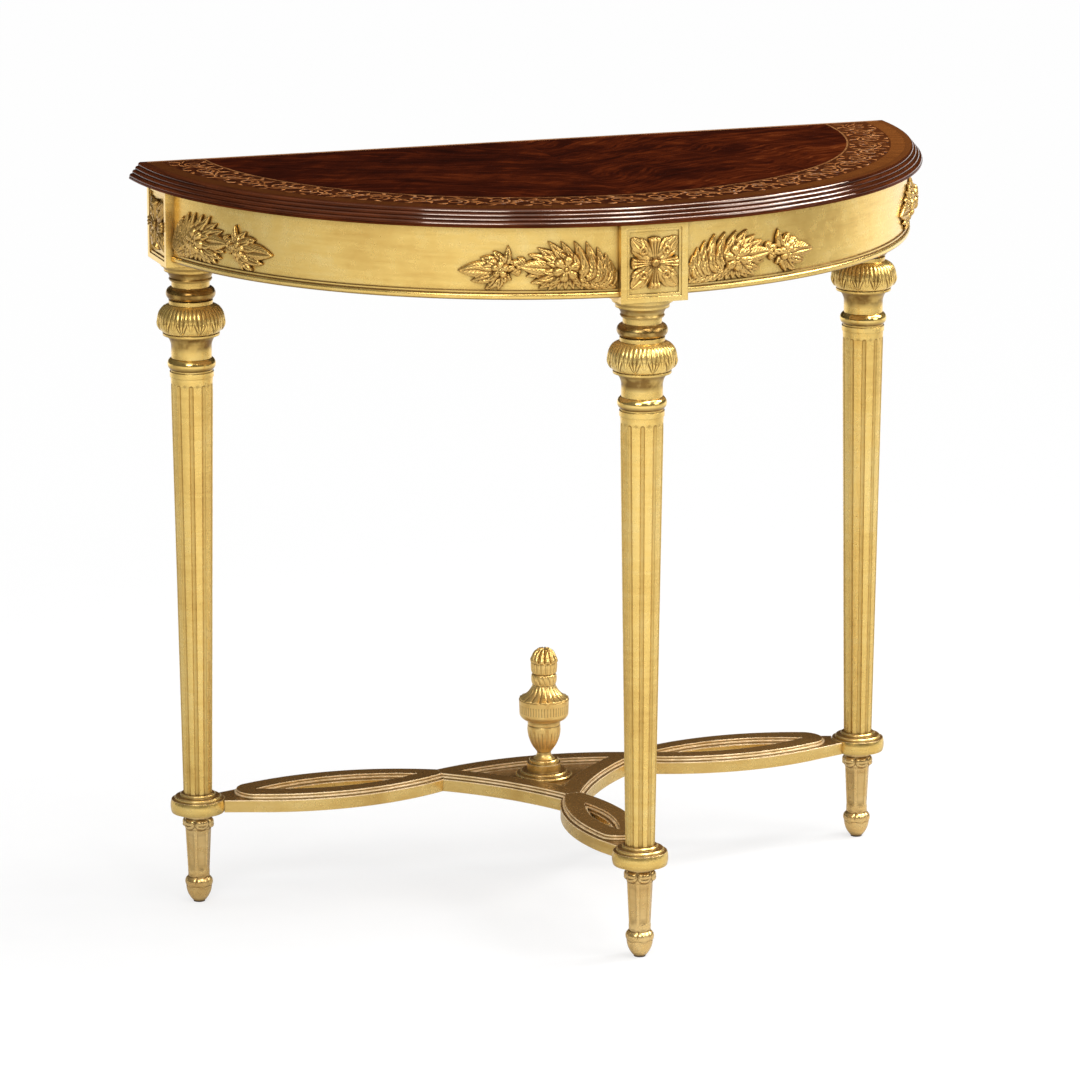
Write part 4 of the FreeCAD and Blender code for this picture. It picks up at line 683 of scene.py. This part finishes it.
class Nodes:
    """A node tree under construction; calls add nodes and link what they are given."""

    def __init__(self, owner, output, space):
        owner.use_nodes = True
        self.tree = owner.node_tree
        self.tree.nodes.clear()
        self.output = self.node(output)
        self.coords = self.node("TexCoord").outputs[space]

    def node(self, kind, inputs=None, **settings):
        made = self.tree.nodes.new("ShaderNode" + kind)
        for key, value in settings.items():
            setattr(made, key, value)
        for key, value in (inputs or {}).items():
            if isinstance(value, Number):
                value = value.socket
            if isinstance(value, bpy.types.NodeSocket):
                self.tree.links.new(value, made.inputs[key])
            else:
                made.inputs[key].default_value = value
        return made

    def number(self, kind, output, inputs=None, **settings):
        return Number(self, self.node(kind, inputs, **settings).outputs[output])

    def math(self, operation, *values):
        return self.number("Math", 0, dict(enumerate(values)), operation=operation)

    def vector(self, x, y, z=0):
        return self.node("CombineXYZ", {0: x, 1: y, 2: z}).outputs[0]

    def split(self, vector):
        return [Number(self, part) for part in self.node("SeparateXYZ", {0: vector}).outputs]

    def scaled(self, vector, scale, shift=(0, 0, 0)):
        return self.node("Mapping", {"Vector": vector, "Scale": scale, "Location": shift}).outputs[0]

    def dot(self, first, second):
        return self.number("VectorMath", "Value", {0: first, 1: second}, operation="DOT_PRODUCT")

    def length(self, vector):
        return self.number("VectorMath", "Value", {0: vector}, operation="LENGTH")

    def noise(self, vector, scale, detail=4, distortion=0, roughness=0.55):
        return self.number("TexNoise", "Fac", {
            "Vector": vector, "Scale": scale, "Detail": detail, "Distortion": distortion,
            "Roughness": roughness})

    def ramp(self, factor, stops):
        made = self.node("ValToRGB", {"Fac": factor})
        marks = made.color_ramp.elements
        while len(marks) < len(stops):
            marks.new(0.5)
        for mark, (at, colour) in zip(marks, stops):
            mark.position = at
            mark.color = (*colour, 1)
        return made.outputs["Color"]

    def greys(self, factor, stops):
        """Ramp whose stops are single numbers."""
        return Number(self, self.ramp(factor, [(at, (tone, tone, tone)) for at, tone in stops]))

    def by_height(self, height, rows):
        """Number that changes with height; rows of level and number, from the lowest up."""
        low, high = rows[0][0], rows[-1][0]
        stops = [((at - low) / (high - low), share) for at, share in rows]
        return self.greys(height.level(low, high), stops)

    def blend(self, factor, first, second):
        return self.node("Mix", {0: factor, 6: first, 7: second}, data_type="RGBA").outputs[2]

    def mix(self, factor, first, second):
        """Surface between two others."""
        return self.node("MixShader", {0: factor, 1: first, 2: second}).outputs[0]

    def surface(self, socket):
        self.tree.links.new(socket, self.output.inputs["Surface"])


class Look(Nodes):
    """The nodes of a material."""

    def __init__(self, name):
        self.material = bpy.data.materials.new(name)
        super().__init__(self.material, "OutputMaterial", "Object")

    def from_axis(self, axis):
        """X, Y and Z from an upright axis that is given in millimetres."""
        return self.split(self.scaled(self.coords, (1, 1, 1), (-axis[0] * MM, -axis[1] * MM, 0)))

    def polar(self):
        """Vector of the angle from the front in radians, the radius and the height about the top's axis."""
        x, y, z = self.from_axis(TOP_AXIS)
        return self.vector(self.math("ARCTAN2", x, y * -1), self.length(self.vector(x, y)), z)

    def facing(self):
        """How far the surface looks up: one on a level top, minus one on an underside."""
        return self.split(self.node("NewGeometry").outputs["Normal"])[2]

    def shade(self, reach):
        return self.number("AmbientOcclusion", "AO", {"Distance": reach}, samples=6)

    def bump(self, height, strength, distance, normal=None):
        inputs = {"Height": height, "Strength": strength, "Distance": distance}
        if normal is not None:
            inputs["Normal"] = normal
        return self.node("Bump", inputs).outputs[0]

    def diffuse(self, colour):
        return self.node("BsdfDiffuse", {"Color": colour}).outputs[0]

    def glow(self, strength):
        return self.node("Emission", {"Color": WHITE, "Strength": strength}).outputs[0]

    def finish(self, inputs):
        self.surface(self.node("BsdfPrincipled", inputs).outputs[0])
        return self.material


# Gold

# Tones of gold leaf in the dark, the middle and the light of its mottle. The copies differ piece by piece:
# partly their own tone, partly painted light and shade.
LEAF_STOPS = (0.34, 0.5, 0.66)
BRIGHT_LEAF = ((0.74, 0.465, 0.12), (0.91, 0.625, 0.185), (0.97, 0.72, 0.265))
QUIET_LEAF = ((0.66, 0.415, 0.115), (0.8, 0.545, 0.175), (0.9, 0.655, 0.25))
TAN_LEAF = ((0.66, 0.405, 0.135), (0.8, 0.54, 0.205), (0.9, 0.65, 0.285))
PALE_LEAF = ((0.76, 0.47, 0.14), (0.92, 0.625, 0.21), (0.98, 0.72, 0.295))
BROWN_LEAF = ((0.51, 0.29, 0.072), (0.68, 0.42, 0.117), (0.82, 0.55, 0.18))
# Red ground that shows through worn leaf, then painted light and shade laid over the leaf: a dark
# reflection on upward faces, a pale highlight on raised edges and a brown shade in recesses.
RED_GROUND = (0.42, 0.2, 0.06, 1)
UPWARD_DARK_REFLECTION = (0.22, 0.112, 0.031, 1)
EDGE_HIGHLIGHT = (0.98, 0.74, 0.44, 1)
BROWN_PAINTED_SHADE = (0.145, 0.058, 0.0075, 1)
# Torus and ring of a leg, which are polished brighter: middle level and half height.
BRIGHT_TURNINGS = ((0.7045, 0.0085), (0.6238, 0.007))
# Brown painted shade and dark reflection on a turned leg by height: dark under the bulb, round the torus
# and in the cove.
LEG_PAINTED_SHADE = (
    (0.63, 0), (0.638, 0.1), (0.644, 1), (0.654, 1), (0.658, 0.15), (0.696, 0.1), (0.699, 1),
    (0.709, 1), (0.713, 0.15), (0.717, 0.2), (0.721, 1), (0.728, 1), (0.731, 0), (0.74, 0),
)
# Taper of a fluted shaft: the levels of its ends and the radius at each, and the depth of a flute's edge,
# where a line of painted shade runs.
SHAFT_LEVELS = (0.128, 0.6093)
SHAFT_RADII = (0.0163, 0.0237)
FLUTE_EDGE = 0.0008
# Painted highlight lines on the stretcher's stepped edge by height; painted shade on the steps between.
STEP_LINES = (
    (0.1185, 0), (0.1187, 0), (0.1192, 1), (0.12, 1), (0.1203, 0), (0.1213, 0), (0.1217, 1), (0.123, 1),
    (0.1233, 0), (0.1243, 0), (0.1247, 1), (0.126, 1),
)
MIDDLE_STEP = 0.123
# Levels of the two quirks in the frieze bead, drawn as dark lines of painted shade.
BEAD_QUIRKS = (0.7531, 0.756)


def leg_painted_shade(look, axis):
    """Share of brown painted shade on a leg: in flutes, by depth under the taper, and in turned hollows."""
    x, y, height = look.from_axis(axis)
    depth = height.level(*SHAFT_LEVELS, *SHAFT_RADII) - look.length(look.vector(x, y))
    hollow = depth.level(0.0006, 0.0017, 0, 0.3)
    edges = abs(depth - FLUTE_EDGE).level(0.0001, 0.0004, 0.66, 0)
    flutes = hollow.most(edges) * height.level(0.603, 0.605, 1, 0)
    cloud = look.noise(look.coords, 60, 3).level(0.38, 0.58, 0.45, 1)
    return flutes.most(look.by_height(height, LEG_PAINTED_SHADE) * cloud)


def step_lines(look, height, facing):
    """Shares of pale painted highlight and of brown painted shade on the stretcher's stepped edge."""
    pale = look.by_height(height, STEP_LINES)
    up = facing.level(0.6, 0.9)
    upright = 1 - up
    ledge = up * abs(height - MIDDLE_STEP).level(0.0008, 0.0012, 1, 0)
    patchy = look.noise(look.coords, 35, 3).level(0.35, 0.6, 0.55, 1)
    dark = (1 - pale) * (upright * height.level(0.1199, 0.1202))
    return (pale * upright).most(ledge) * patchy, dark * 0.9


def plain_recess(look, recess, facing, height, lines, leg):
    """Painted shade on a moulding: in recesses, on undersides, along quirks and in a leg's hollows."""
    # Undersides get painted shade that stands for their dark reflection.
    recess = recess.most(facing.level(-0.12, -0.55, 0, 0.75))
    # Dark lines of painted shade at the given quirk levels.
    for line in lines:
        recess = recess.most(abs(height - line).level(0.0005, 0.0011, 1, 0))
    if leg is not None:
        recess = recess.most(leg_painted_shade(look, leg))
    return recess


def edge_highlights(look, edge, shade, highlight_share):
    """Share of pale painted highlight on raised edges, where the rounded normal leaves the true one."""
    match = look.dot(edge, look.node("NewGeometry").outputs["True Normal"])
    return match.level(0.99, 0.88) * shade.level(0.6, 0.78, 0, highlight_share)


def gold(name, carved, leaf=BRIGHT_LEAF, shade_share=0.85, leg=None, lines=(), highlight_share=0, steps=False,
         matt=0):
    """Gold leaf over a red ground, with brown painted shade in the recesses and a satin polish that matt
    dulls.

    On plain pieces upward faces get a painted dark reflection and raised edges a pale painted highlight. A
    leg's axis adds painted shade in its flutes and turned hollows, lines are levels of dark quirks painted
    as shade lines in a moulding, the edge-highlight share says how strong the pale painted highlight on
    raised edges is, and steps picks out the stretcher's stepped edge with painted highlight lines and
    painted shade.
    """
    look = Look(name)
    broad = look.noise(look.coords, 9, 3)
    mottle = look.noise(look.coords, 70, 6)
    streak = look.noise(look.scaled(look.coords, (18, 18, 260)), 1, 4)
    grain = look.noise(look.coords, 260, 5)
    speck = look.noise(look.coords, 420, 3).level(0.62, 0.78, 0, 0.12)
    colour = look.ramp(broad * 0.45 + mottle * 0.3 + streak * 0.25, tuple(zip(LEAF_STOPS, leaf)))
    colour = look.blend(speck, colour, RED_GROUND)
    polish = mottle.level(0.3, 0.7, 0.22 + matt, 0.3 + matt)
    # Brown painted shade where the surface is occluded; carved pieces add it in the hollows of their
    # carving.
    shade = look.shade(0.006 if carved or steps else 0.011)
    recess = shade.level(0.3, 0.85, 1, 0)
    if carved:
        cavity = look.number("Attribute", "Fac", attribute_name="cavity")
        recess = (recess * 0.7).most(cavity.level(0.24, 0.5))
        edge = None
        metallic = 0.78
    else:
        facing = look.facing()
        height = look.split(look.coords)[2]
        recess = plain_recess(look, recess, facing, height, lines, leg)
        edge = look.node("Bevel", {"Radius": 0.001}, samples=4).outputs[0]
        # Raised edges get a pale painted highlight and less metal.
        highlight = edge_highlights(look, edge, shade, highlight_share)
        if steps:
            # On the stretcher's steps: painted highlight lines, with painted shade between them.
            step_highlight, dark = step_lines(look, height, facing)
            highlight = highlight.most(step_highlight)
            recess = recess.most(dark) * (1 - step_highlight * 0.75)
        # Upward faces, apart from highlighted edges, get a painted dark reflection of the room and less
        # metal.
        dark_reflection = (facing.level(0.8, 0.98) - highlight).most(0)
        colour = look.blend(dark_reflection, colour, UPWARD_DARK_REFLECTION)
        colour = look.blend(highlight, colour, EDGE_HIGHLIGHT)
        metallic = (dark_reflection + highlight).level(0, 1, 0.86, 0.42)
        torus, ring = [look.math("COMPARE", height, *span) for span in BRIGHT_TURNINGS]
        polish = polish - torus.most(ring) * 0.13
    normal = look.bump(grain, 0.1, 0.0006, edge)
    return look.finish({
        "Base Color": look.blend(recess * shade_share, colour, BROWN_PAINTED_SHADE), "Metallic": metallic,
        "Roughness": polish + recess * 0.14, "Normal": look.bump(streak, 0.08, 0.0008, normal)})


# Woods and metals


def flame_figure(look):
    """Flame figure: plumes that climb beside the middle line and droop to both sides."""
    x, y, _ = look.split(look.coords)
    aside = abs(x)
    plan = look.vector(x, y)
    warp = look.noise(plan, 7, 3, 0.3).level(0, 1, -0.05, 0.05)
    climb = y - aside * 0.75 + (warp + aside * aside * 0.7)
    run = aside + y * 0.75
    side = look.math("GREATER_THAN", x, 0) * 3
    plume = look.noise(look.vector(climb, run * 0.22, side), 26, 5, 0.6, 0.6)
    thread = look.noise(look.vector(climb, run * 0.07), 190, 4, 0.2, 0.6)
    cloud = look.noise(plan, 5, 3, 0.6)
    mottle = look.noise(look.vector(climb * 0.35, run), 42, 3, 0.5)
    tone = plume * 0.34 + thread * 0.32 + cloud * 0.2 + mottle * 0.14
    # The tone shifts darker on the left and lighter on the right: painted light across the top.
    colour = look.ramp(tone + x.level(-0.3, 0.3, -0.035, 0.035), (
        (0.38, (0.009, 0.0012, 0.0003)), (0.49, (0.031, 0.0038, 0.0007)),
        (0.57, (0.078, 0.0118, 0.0018)), (0.66, (0.19, 0.045, 0.009))))
    return colour, thread


def band_figure(look):
    """Dark ground of the marquetry, with painted light that makes it lighter towards the right-hand end."""
    place = look.polar()
    grain = look.noise(look.scaled(place, (12, 90, 0)), 2, 6, 0.5)
    colour = look.ramp(grain, (
        (0.3, (0.016, 0.0032, 0.0009)), (0.52, (0.046, 0.01, 0.0024)), (0.74, (0.12, 0.034, 0.0075))))
    # Painted light: lighter towards the right-hand end.
    lighter = look.split(place)[0].level(0.3, 1.3, 0, 0.45)
    return look.blend(lighter, colour, (0.125, 0.034, 0.0075, 1)), grain


def cross_figure(look):
    """Grain across the band, with painted shade that darkens it over the front and towards the left-hand
    end.
    """
    place = look.polar()
    grain = look.noise(look.scaled(place, (130, 9, 0)), 1.6, 6, 0.4)
    colour = look.ramp(grain, (
        (0.3, (0.085, 0.0225, 0.0042)), (0.5, (0.165, 0.05, 0.0095)), (0.72, (0.27, 0.093, 0.0205))))
    # Painted shade: darkest at the front and on the left, none towards the right-hand end.
    darker = look.split(place)[0].level(0.1, 1.2, 0.76, 0)
    return look.blend(darker, colour, (0.044, 0.011, 0.0022, 1)), grain


# The lipping's light tones carry a painted highlight along the back edge, over the wood's own tone.
def lipping_figure(look):
    grain = look.noise(look.scaled(look.coords, (12, 240, 240)), 1, 5)
    return look.ramp(grain, ((0.3, (0.2, 0.082, 0.03)), (0.7, (0.42, 0.205, 0.092)))), grain


def polished(look, colour, grain, normal, rough, coat):
    """Clear polish over wood."""
    return look.finish({
        "Base Color": colour, "Roughness": grain.level(0.2, 0.8, *rough), "Normal": normal,
        "Specular IOR Level": 0, "Coat Weight": coat, "Coat Roughness": 0.04})


def pores(look, grain, edge=None):
    """Normal of a veneer with faint pores along its grain."""
    return look.bump(grain.level(0.42, 0.58), 0.03, 0.0003, edge)


def veneer(name, figure):
    """Polished veneer; figure is the function that gives its colour and its grain."""
    look = Look(name)
    colour, grain = figure(look)
    return polished(look, colour, grain, pores(look, grain), (0.2, 0.32), 0.8)


def edge_moulding(name):
    """Dark polished reeds with near-black painted shade between them, that gleam only where they lie open
    and look up.
    """
    look = Look(name)
    place = look.polar()
    angle, _, height = look.split(place)
    facing = look.facing()
    shade = look.shade(0.005)
    grain = look.noise(look.scaled(place, (7, 160, 160)), 1, 6, 0.3)
    colour = look.ramp(grain, ((0.3, (0.026, 0.0046, 0.001)), (0.7, (0.105, 0.0225, 0.0046))))
    # The upper flat takes the crossband's warmer colour; its share growing towards the right-hand end is
    # painted light.
    warm = facing.level(0.93, 0.995) * angle.level(0.1, 1.2, 0.08, 0.95)
    colour = look.blend(warm, colour, (0.165, 0.05, 0.0095, 1))
    # Near-black painted shade where the reeds are occluded.
    colour = look.blend(shade.level(0.4, 0.95, 0.9, 0), colour, (0.006, 0.0012, 0.0005, 1))
    sheen = shade.level(0.55, 0.92, 0.04, 0.5) * height.level(0.8275, 0.83, 0.08, 1)
    edge = look.node("Bevel", {"Radius": 0.0009}, samples=3).outputs[0]
    return look.finish({
        "Base Color": colour, "Roughness": grain.level(0.2, 0.8, 0.06, 0.11), "IOR": 2.4,
        "Normal": pores(look, grain, edge),
        "Specular IOR Level": sheen * facing.level(0.05, 0.35, 0.12, 1),
        "Specular Tint": (1, 0.84, 0.72, 1)})


def inlaid_wood(name, stops):
    """Pale sawn veneer with scorched shading and fine grain."""
    look = Look(name)
    grain = look.noise(look.scaled(look.polar(), (30, 150, 0)), 2, 5, 0.5)
    patch = look.noise(look.coords, 60, 2)
    colour = look.ramp(grain * 0.4 + patch * 0.6, stops)
    return polished(look, colour, grain, look.bump(grain, 0.03, 0.0002), (0.22, 0.34), 0.7)


def plain_wood(name, dark, light, long_axis=0):
    """Unpolished timber with grain along one axis."""
    look = Look(name)
    stretch = [160, 160, 160]
    stretch[long_axis] = 7
    grain = look.noise(look.scaled(look.coords, stretch), 1, 6, 0.4)
    ring = look.noise(look.scaled(look.coords, [share / 6 for share in stretch]), 1, 3, 0.8)
    return look.finish({
        "Base Color": look.ramp(grain * 0.5 + ring * 0.5, ((0.32, dark), (0.68, light))),
        "Roughness": grain.level(0.2, 0.8, 0.5, 0.72), "Normal": look.bump(grain, 0.25, 0.0006)})


def brushed_metal(name, dark, light, metallic):
    look = Look(name)
    grain = look.noise(look.scaled(look.coords, (900, 900, 60)), 1, 4)
    return look.finish({
        "Base Color": look.ramp(grain, ((0.3, dark), (0.7, light))), "Metallic": metallic,
        "Roughness": grain.level(0.2, 0.8, 0.32, 0.5), "Normal": look.bump(grain, 0.1, 0.0003)})


# What each piece wears

# Dark and light of the grain.
CORE_TONES = ((0.2, 0.11, 0.05), (0.36, 0.22, 0.11))
RAIL_TONES = ((0.22, 0.12, 0.05), (0.4, 0.25, 0.12))
BLOCK_TONES = ((0.26, 0.15, 0.07), (0.46, 0.3, 0.15))
DOWEL_TONES = ((0.38, 0.24, 0.12), (0.6, 0.42, 0.24))
STEEL_TONES = ((0.4, 0.4, 0.4), (0.62, 0.61, 0.59))
GLIDE_TONES = ((0.04, 0.024, 0.012), (0.1, 0.062, 0.032))
STRINGING_TONES = ((0.3, (0.15, 0.055, 0.017)), (0.7, (0.33, 0.15, 0.052)))
FOLIAGE_TONES = ((0.36, (0.18, 0.058, 0.015)), (0.52, (0.33, 0.123, 0.036)), (0.66, (0.49, 0.23, 0.09)))

GILT = gold("gilded_wood", False)
CARVED = gold("gilded_carving", True)
RELIEF = gold("gilded_relief", True, BROWN_LEAF, 0.92)
TURNED = gold("gilded_turning", True, TAN_LEAF, 0.75)
BEAD = gold("gilded_bead", False, lines=BEAD_QUIRKS)
# The stretcher and the bosses carry the strongest painted edge highlight.
STRETCHER = gold("gilded_stretcher", False, QUIET_LEAF, highlight_share=1, steps=True)
BOSS = gold("gilded_boss", False, highlight_share=0.8)
FINIAL = gold("gilded_finial", True, PALE_LEAF, 0.75, matt=0.05)
INLAY = inlaid_wood("inlaid_foliage", FOLIAGE_TONES)
LEG_LOOKS = {
    "leg_" + name: gold("gilded_leg_" + name, False, leg=place) for name, place in LEG_PLACES.items()}
NODE_LOOKS = LEG_LOOKS | {
    "frieze_bead_left": BEAD,
    "frieze_bead_right": BEAD,
    "top_field_veneer": veneer("flame_veneer", flame_figure),
    "top_stringing": inlaid_wood("pale_stringing", STRINGING_TONES),
    "top_marquetry_band": veneer("marquetry_ground", band_figure),
    "top_crossband": veneer("crossband", cross_figure),
    "top_edge_moulding": edge_moulding("edge_moulding"),
    "top_back_lipping": veneer("back_lipping", lipping_figure),
    "top_core": plain_wood("core_board", *CORE_TONES),
    "back_rail": plain_wood("rail_timber", *RAIL_TONES),
    "centre_bearer": plain_wood("bearer_timber", *RAIL_TONES, long_axis=1),
    "glue_blocks": plain_wood("block_timber", *BLOCK_TONES),
    "rail_dowels": plain_wood("dowel_timber", *DOWEL_TONES),
    "stretcher_dowels": plain_wood("pin_timber", *DOWEL_TONES, long_axis=1),
    "finial_pin": brushed_metal("pin_steel", *STEEL_TONES, metallic=1),
    "top_screws": brushed_metal("screw_steel", *STEEL_TONES, metallic=1),
    "foot_glides": brushed_metal("glide_brown", *GLIDE_TONES, metallic=0),
}


def finish_piece(piece, slot, material, *stands_for):
    piece.data.materials.clear()
    piece.data.materials.append(material)
    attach(piece, "root")
    if stands_for:
        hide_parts(*stands_for)


def dress_nodes():
    for name, item in nodes.items():
        plain = GILT
        if name.startswith(("stretcher_boss", "stretcher_panel", "finial_base")):
            plain = BOSS
        elif name.startswith("stretcher_"):
            plain = STRETCHER
        material = NODE_LOOKS.get(name, plain)
        if not item.material_slots:
            item.data.materials.append(material)
        for holder in item.material_slots:
            holder.material = material


# Stage, in metres

FLOOR_REACH = 30
# Way from before the table to behind it, and the distances along it between which the floor dims.
STAGE_WAY = (0.3259, 0.9454, 0)
STAGE_ENDS = (-3.6, 4.4)
# How far reflections of the floor are dimmed, by share of that distance.
FLOOR_DIMMING = (
    (0, 0), (0.125, 0.18), (0.2, 0.3), (0.3, 0.4), (0.38, 0.52), (0.46, 0.58), (0.575, 0.5),
    (0.725, 0.12), (1, 0),
)
# Brightness of the room in reflections, by height from the horizon to overhead.
ROOM_TONES = ((0, 0.006), (0.45, 0.01), (0.7, 0.06), (0.85, 0.16), (1, 0.22))
ROOM_BLUE = 0.98
DOME_LIGHT = (0.85, 0.85, 0.85, 1)
# Windows that polished edges mirror: direction, outer and inner half angle in degrees, brightness.
WINDOWS = (
    ((0.795, -0.08, 0.601), 14, 9, 7), ((-0.2, -0.5, 0.843), 24, 8, 0.9),
    ((0.218, -0.801, 0.558), 6, 3, 9), ((0.229, -0.643, 0.731), 6, 3, 9),
    ((0.243, -0.448, 0.86), 6, 3, 9), ((0.259, -0.228, 0.939), 6, 3, 9),
)
# Lamps: name, place, width, height and power in watts.
LAMPS = (
    ("key", (-1.9, -2.6, 2.5), 1.4, 1.4, 48), ("fill", (2.4, -1.8, 2), 1.2, 1.6, 26),
    ("overhead", (0.8, -0.9, 3), 2.8, 0.5, 44), ("side", (2.3, 0.05, 2.5), 0.6, 1.2, 36),
)
LAMP_TARGET = (0, 0, 0.5)
CAMERA_PLACE = (-2.072, -5.8553, 1.9118)
CAMERA_LENS = 191.07
CAMERA_SENSOR = 36
CAMERA_DOWN = 13.42
CAMERA_TURN = -19.02


def floor_paper():
    """White sweep: the camera sees it almost white with a faint shadow, and metal sees it dark behind."""
    look = Look("studio_floor")
    path = look.node("LightPath")
    mirrored = Number(look, path.outputs["Is Glossy Ray"])
    paper = look.noise(look.coords, 14, 3)
    depth = look.dot(look.coords, STAGE_WAY).level(*STAGE_ENDS)
    matte = look.diffuse(look.greys(paper, ((0.3, 0.9), (0.7, 0.925))))
    dimmed = mirrored * look.greys(depth, FLOOR_DIMMING)
    ground = look.mix(dimmed, matte, look.diffuse((0.05, 0.05, 0.05, 1)))
    ground = look.mix(mirrored * depth.level(0.64, 0.78, 0, 0.8), ground, look.glow(1.3))
    seen = look.diffuse(look.greys(paper, ((0.3, 0.76), (0.7, 0.78))))
    white_share = look.length(look.coords).level(0.7, 2.2, 0.66, 0.97)
    sweep = look.mix(white_share, seen, look.glow(1))
    look.surface(look.mix(path.outputs["Is Camera Ray"], ground, sweep))
    return look.material


def make_floor():
    mesh = bpy.data.meshes.new("floor")
    square = [(x * FLOOR_REACH, y * FLOOR_REACH, 0) for x, y in ((-1, -1), (1, -1), (1, 1), (-1, 1))]
    mesh.from_pydata(square, [], [(0, 1, 2, 3)])
    mesh.materials.append(floor_paper())
    floor = bpy.data.objects.new("floor", mesh)
    bpy.context.scene.collection.objects.link(floor)


def make_world():
    """White for the camera, a soft even dome for diffuse light, a darker room for reflections."""
    world = bpy.data.worlds.new("studio")
    bpy.context.scene.world = world
    sky = Nodes(world, "OutputWorld", "Generated")
    room = [(at, (tone, tone, tone * ROOM_BLUE)) for at, tone in ROOM_TONES]
    light = sky.ramp(sky.split(sky.coords)[2], room)
    for way, *half_angles, strength in WINDOWS:
        rim = [math.cos(math.radians(angle)) for angle in half_angles]
        glare = sky.dot(sky.coords, way).level(*rim, 0, strength)
        light = sky.node("VectorMath", {0: light, 1: glare}, operation="ADD").outputs["Vector"]
    dome, mirror, white = [
        sky.node("Background", {"Color": colour}).outputs[0] for colour in (DOME_LIGHT, light, WHITE)]
    path = sky.node("LightPath")
    lit = sky.mix(path.outputs["Is Glossy Ray"], dome, mirror)
    sky.surface(sky.mix(path.outputs["Is Camera Ray"], lit, white))


def make_lights():
    for name, place, width, height, power in LAMPS:
        data = bpy.data.lights.new(name, "AREA")
        data.shape = "RECTANGLE"
        data.size = width
        data.size_y = height
        data.energy = power
        lamp = bpy.data.objects.new(name, data)
        bpy.context.scene.collection.objects.link(lamp)
        x, y, z = np.subtract(LAMP_TARGET, place)
        lamp.location = place
        lamp.rotation_euler = (math.atan2(math.hypot(x, y), -z), 0, math.atan2(y, x) - math.pi / 2)


def make_camera():
    data = bpy.data.cameras.new("camera")
    data.sensor_width = CAMERA_SENSOR
    data.lens = CAMERA_LENS
    data.clip_end = 100
    camera = bpy.data.objects.new("camera", data)
    camera.location = CAMERA_PLACE
    camera.rotation_euler = (math.radians(90 - CAMERA_DOWN), 0, math.radians(CAMERA_TURN))
    bpy.context.scene.collection.objects.link(camera)
    bpy.context.scene.camera = camera
    bpy.context.scene.view_settings.view_transform = "Standard"


dress_nodes()
make_sprays()
make_rosettes()
make_bulbs()
make_feet()
make_finial()
make_marquetry()
make_floor()
make_world()
make_lights()
make_camera()
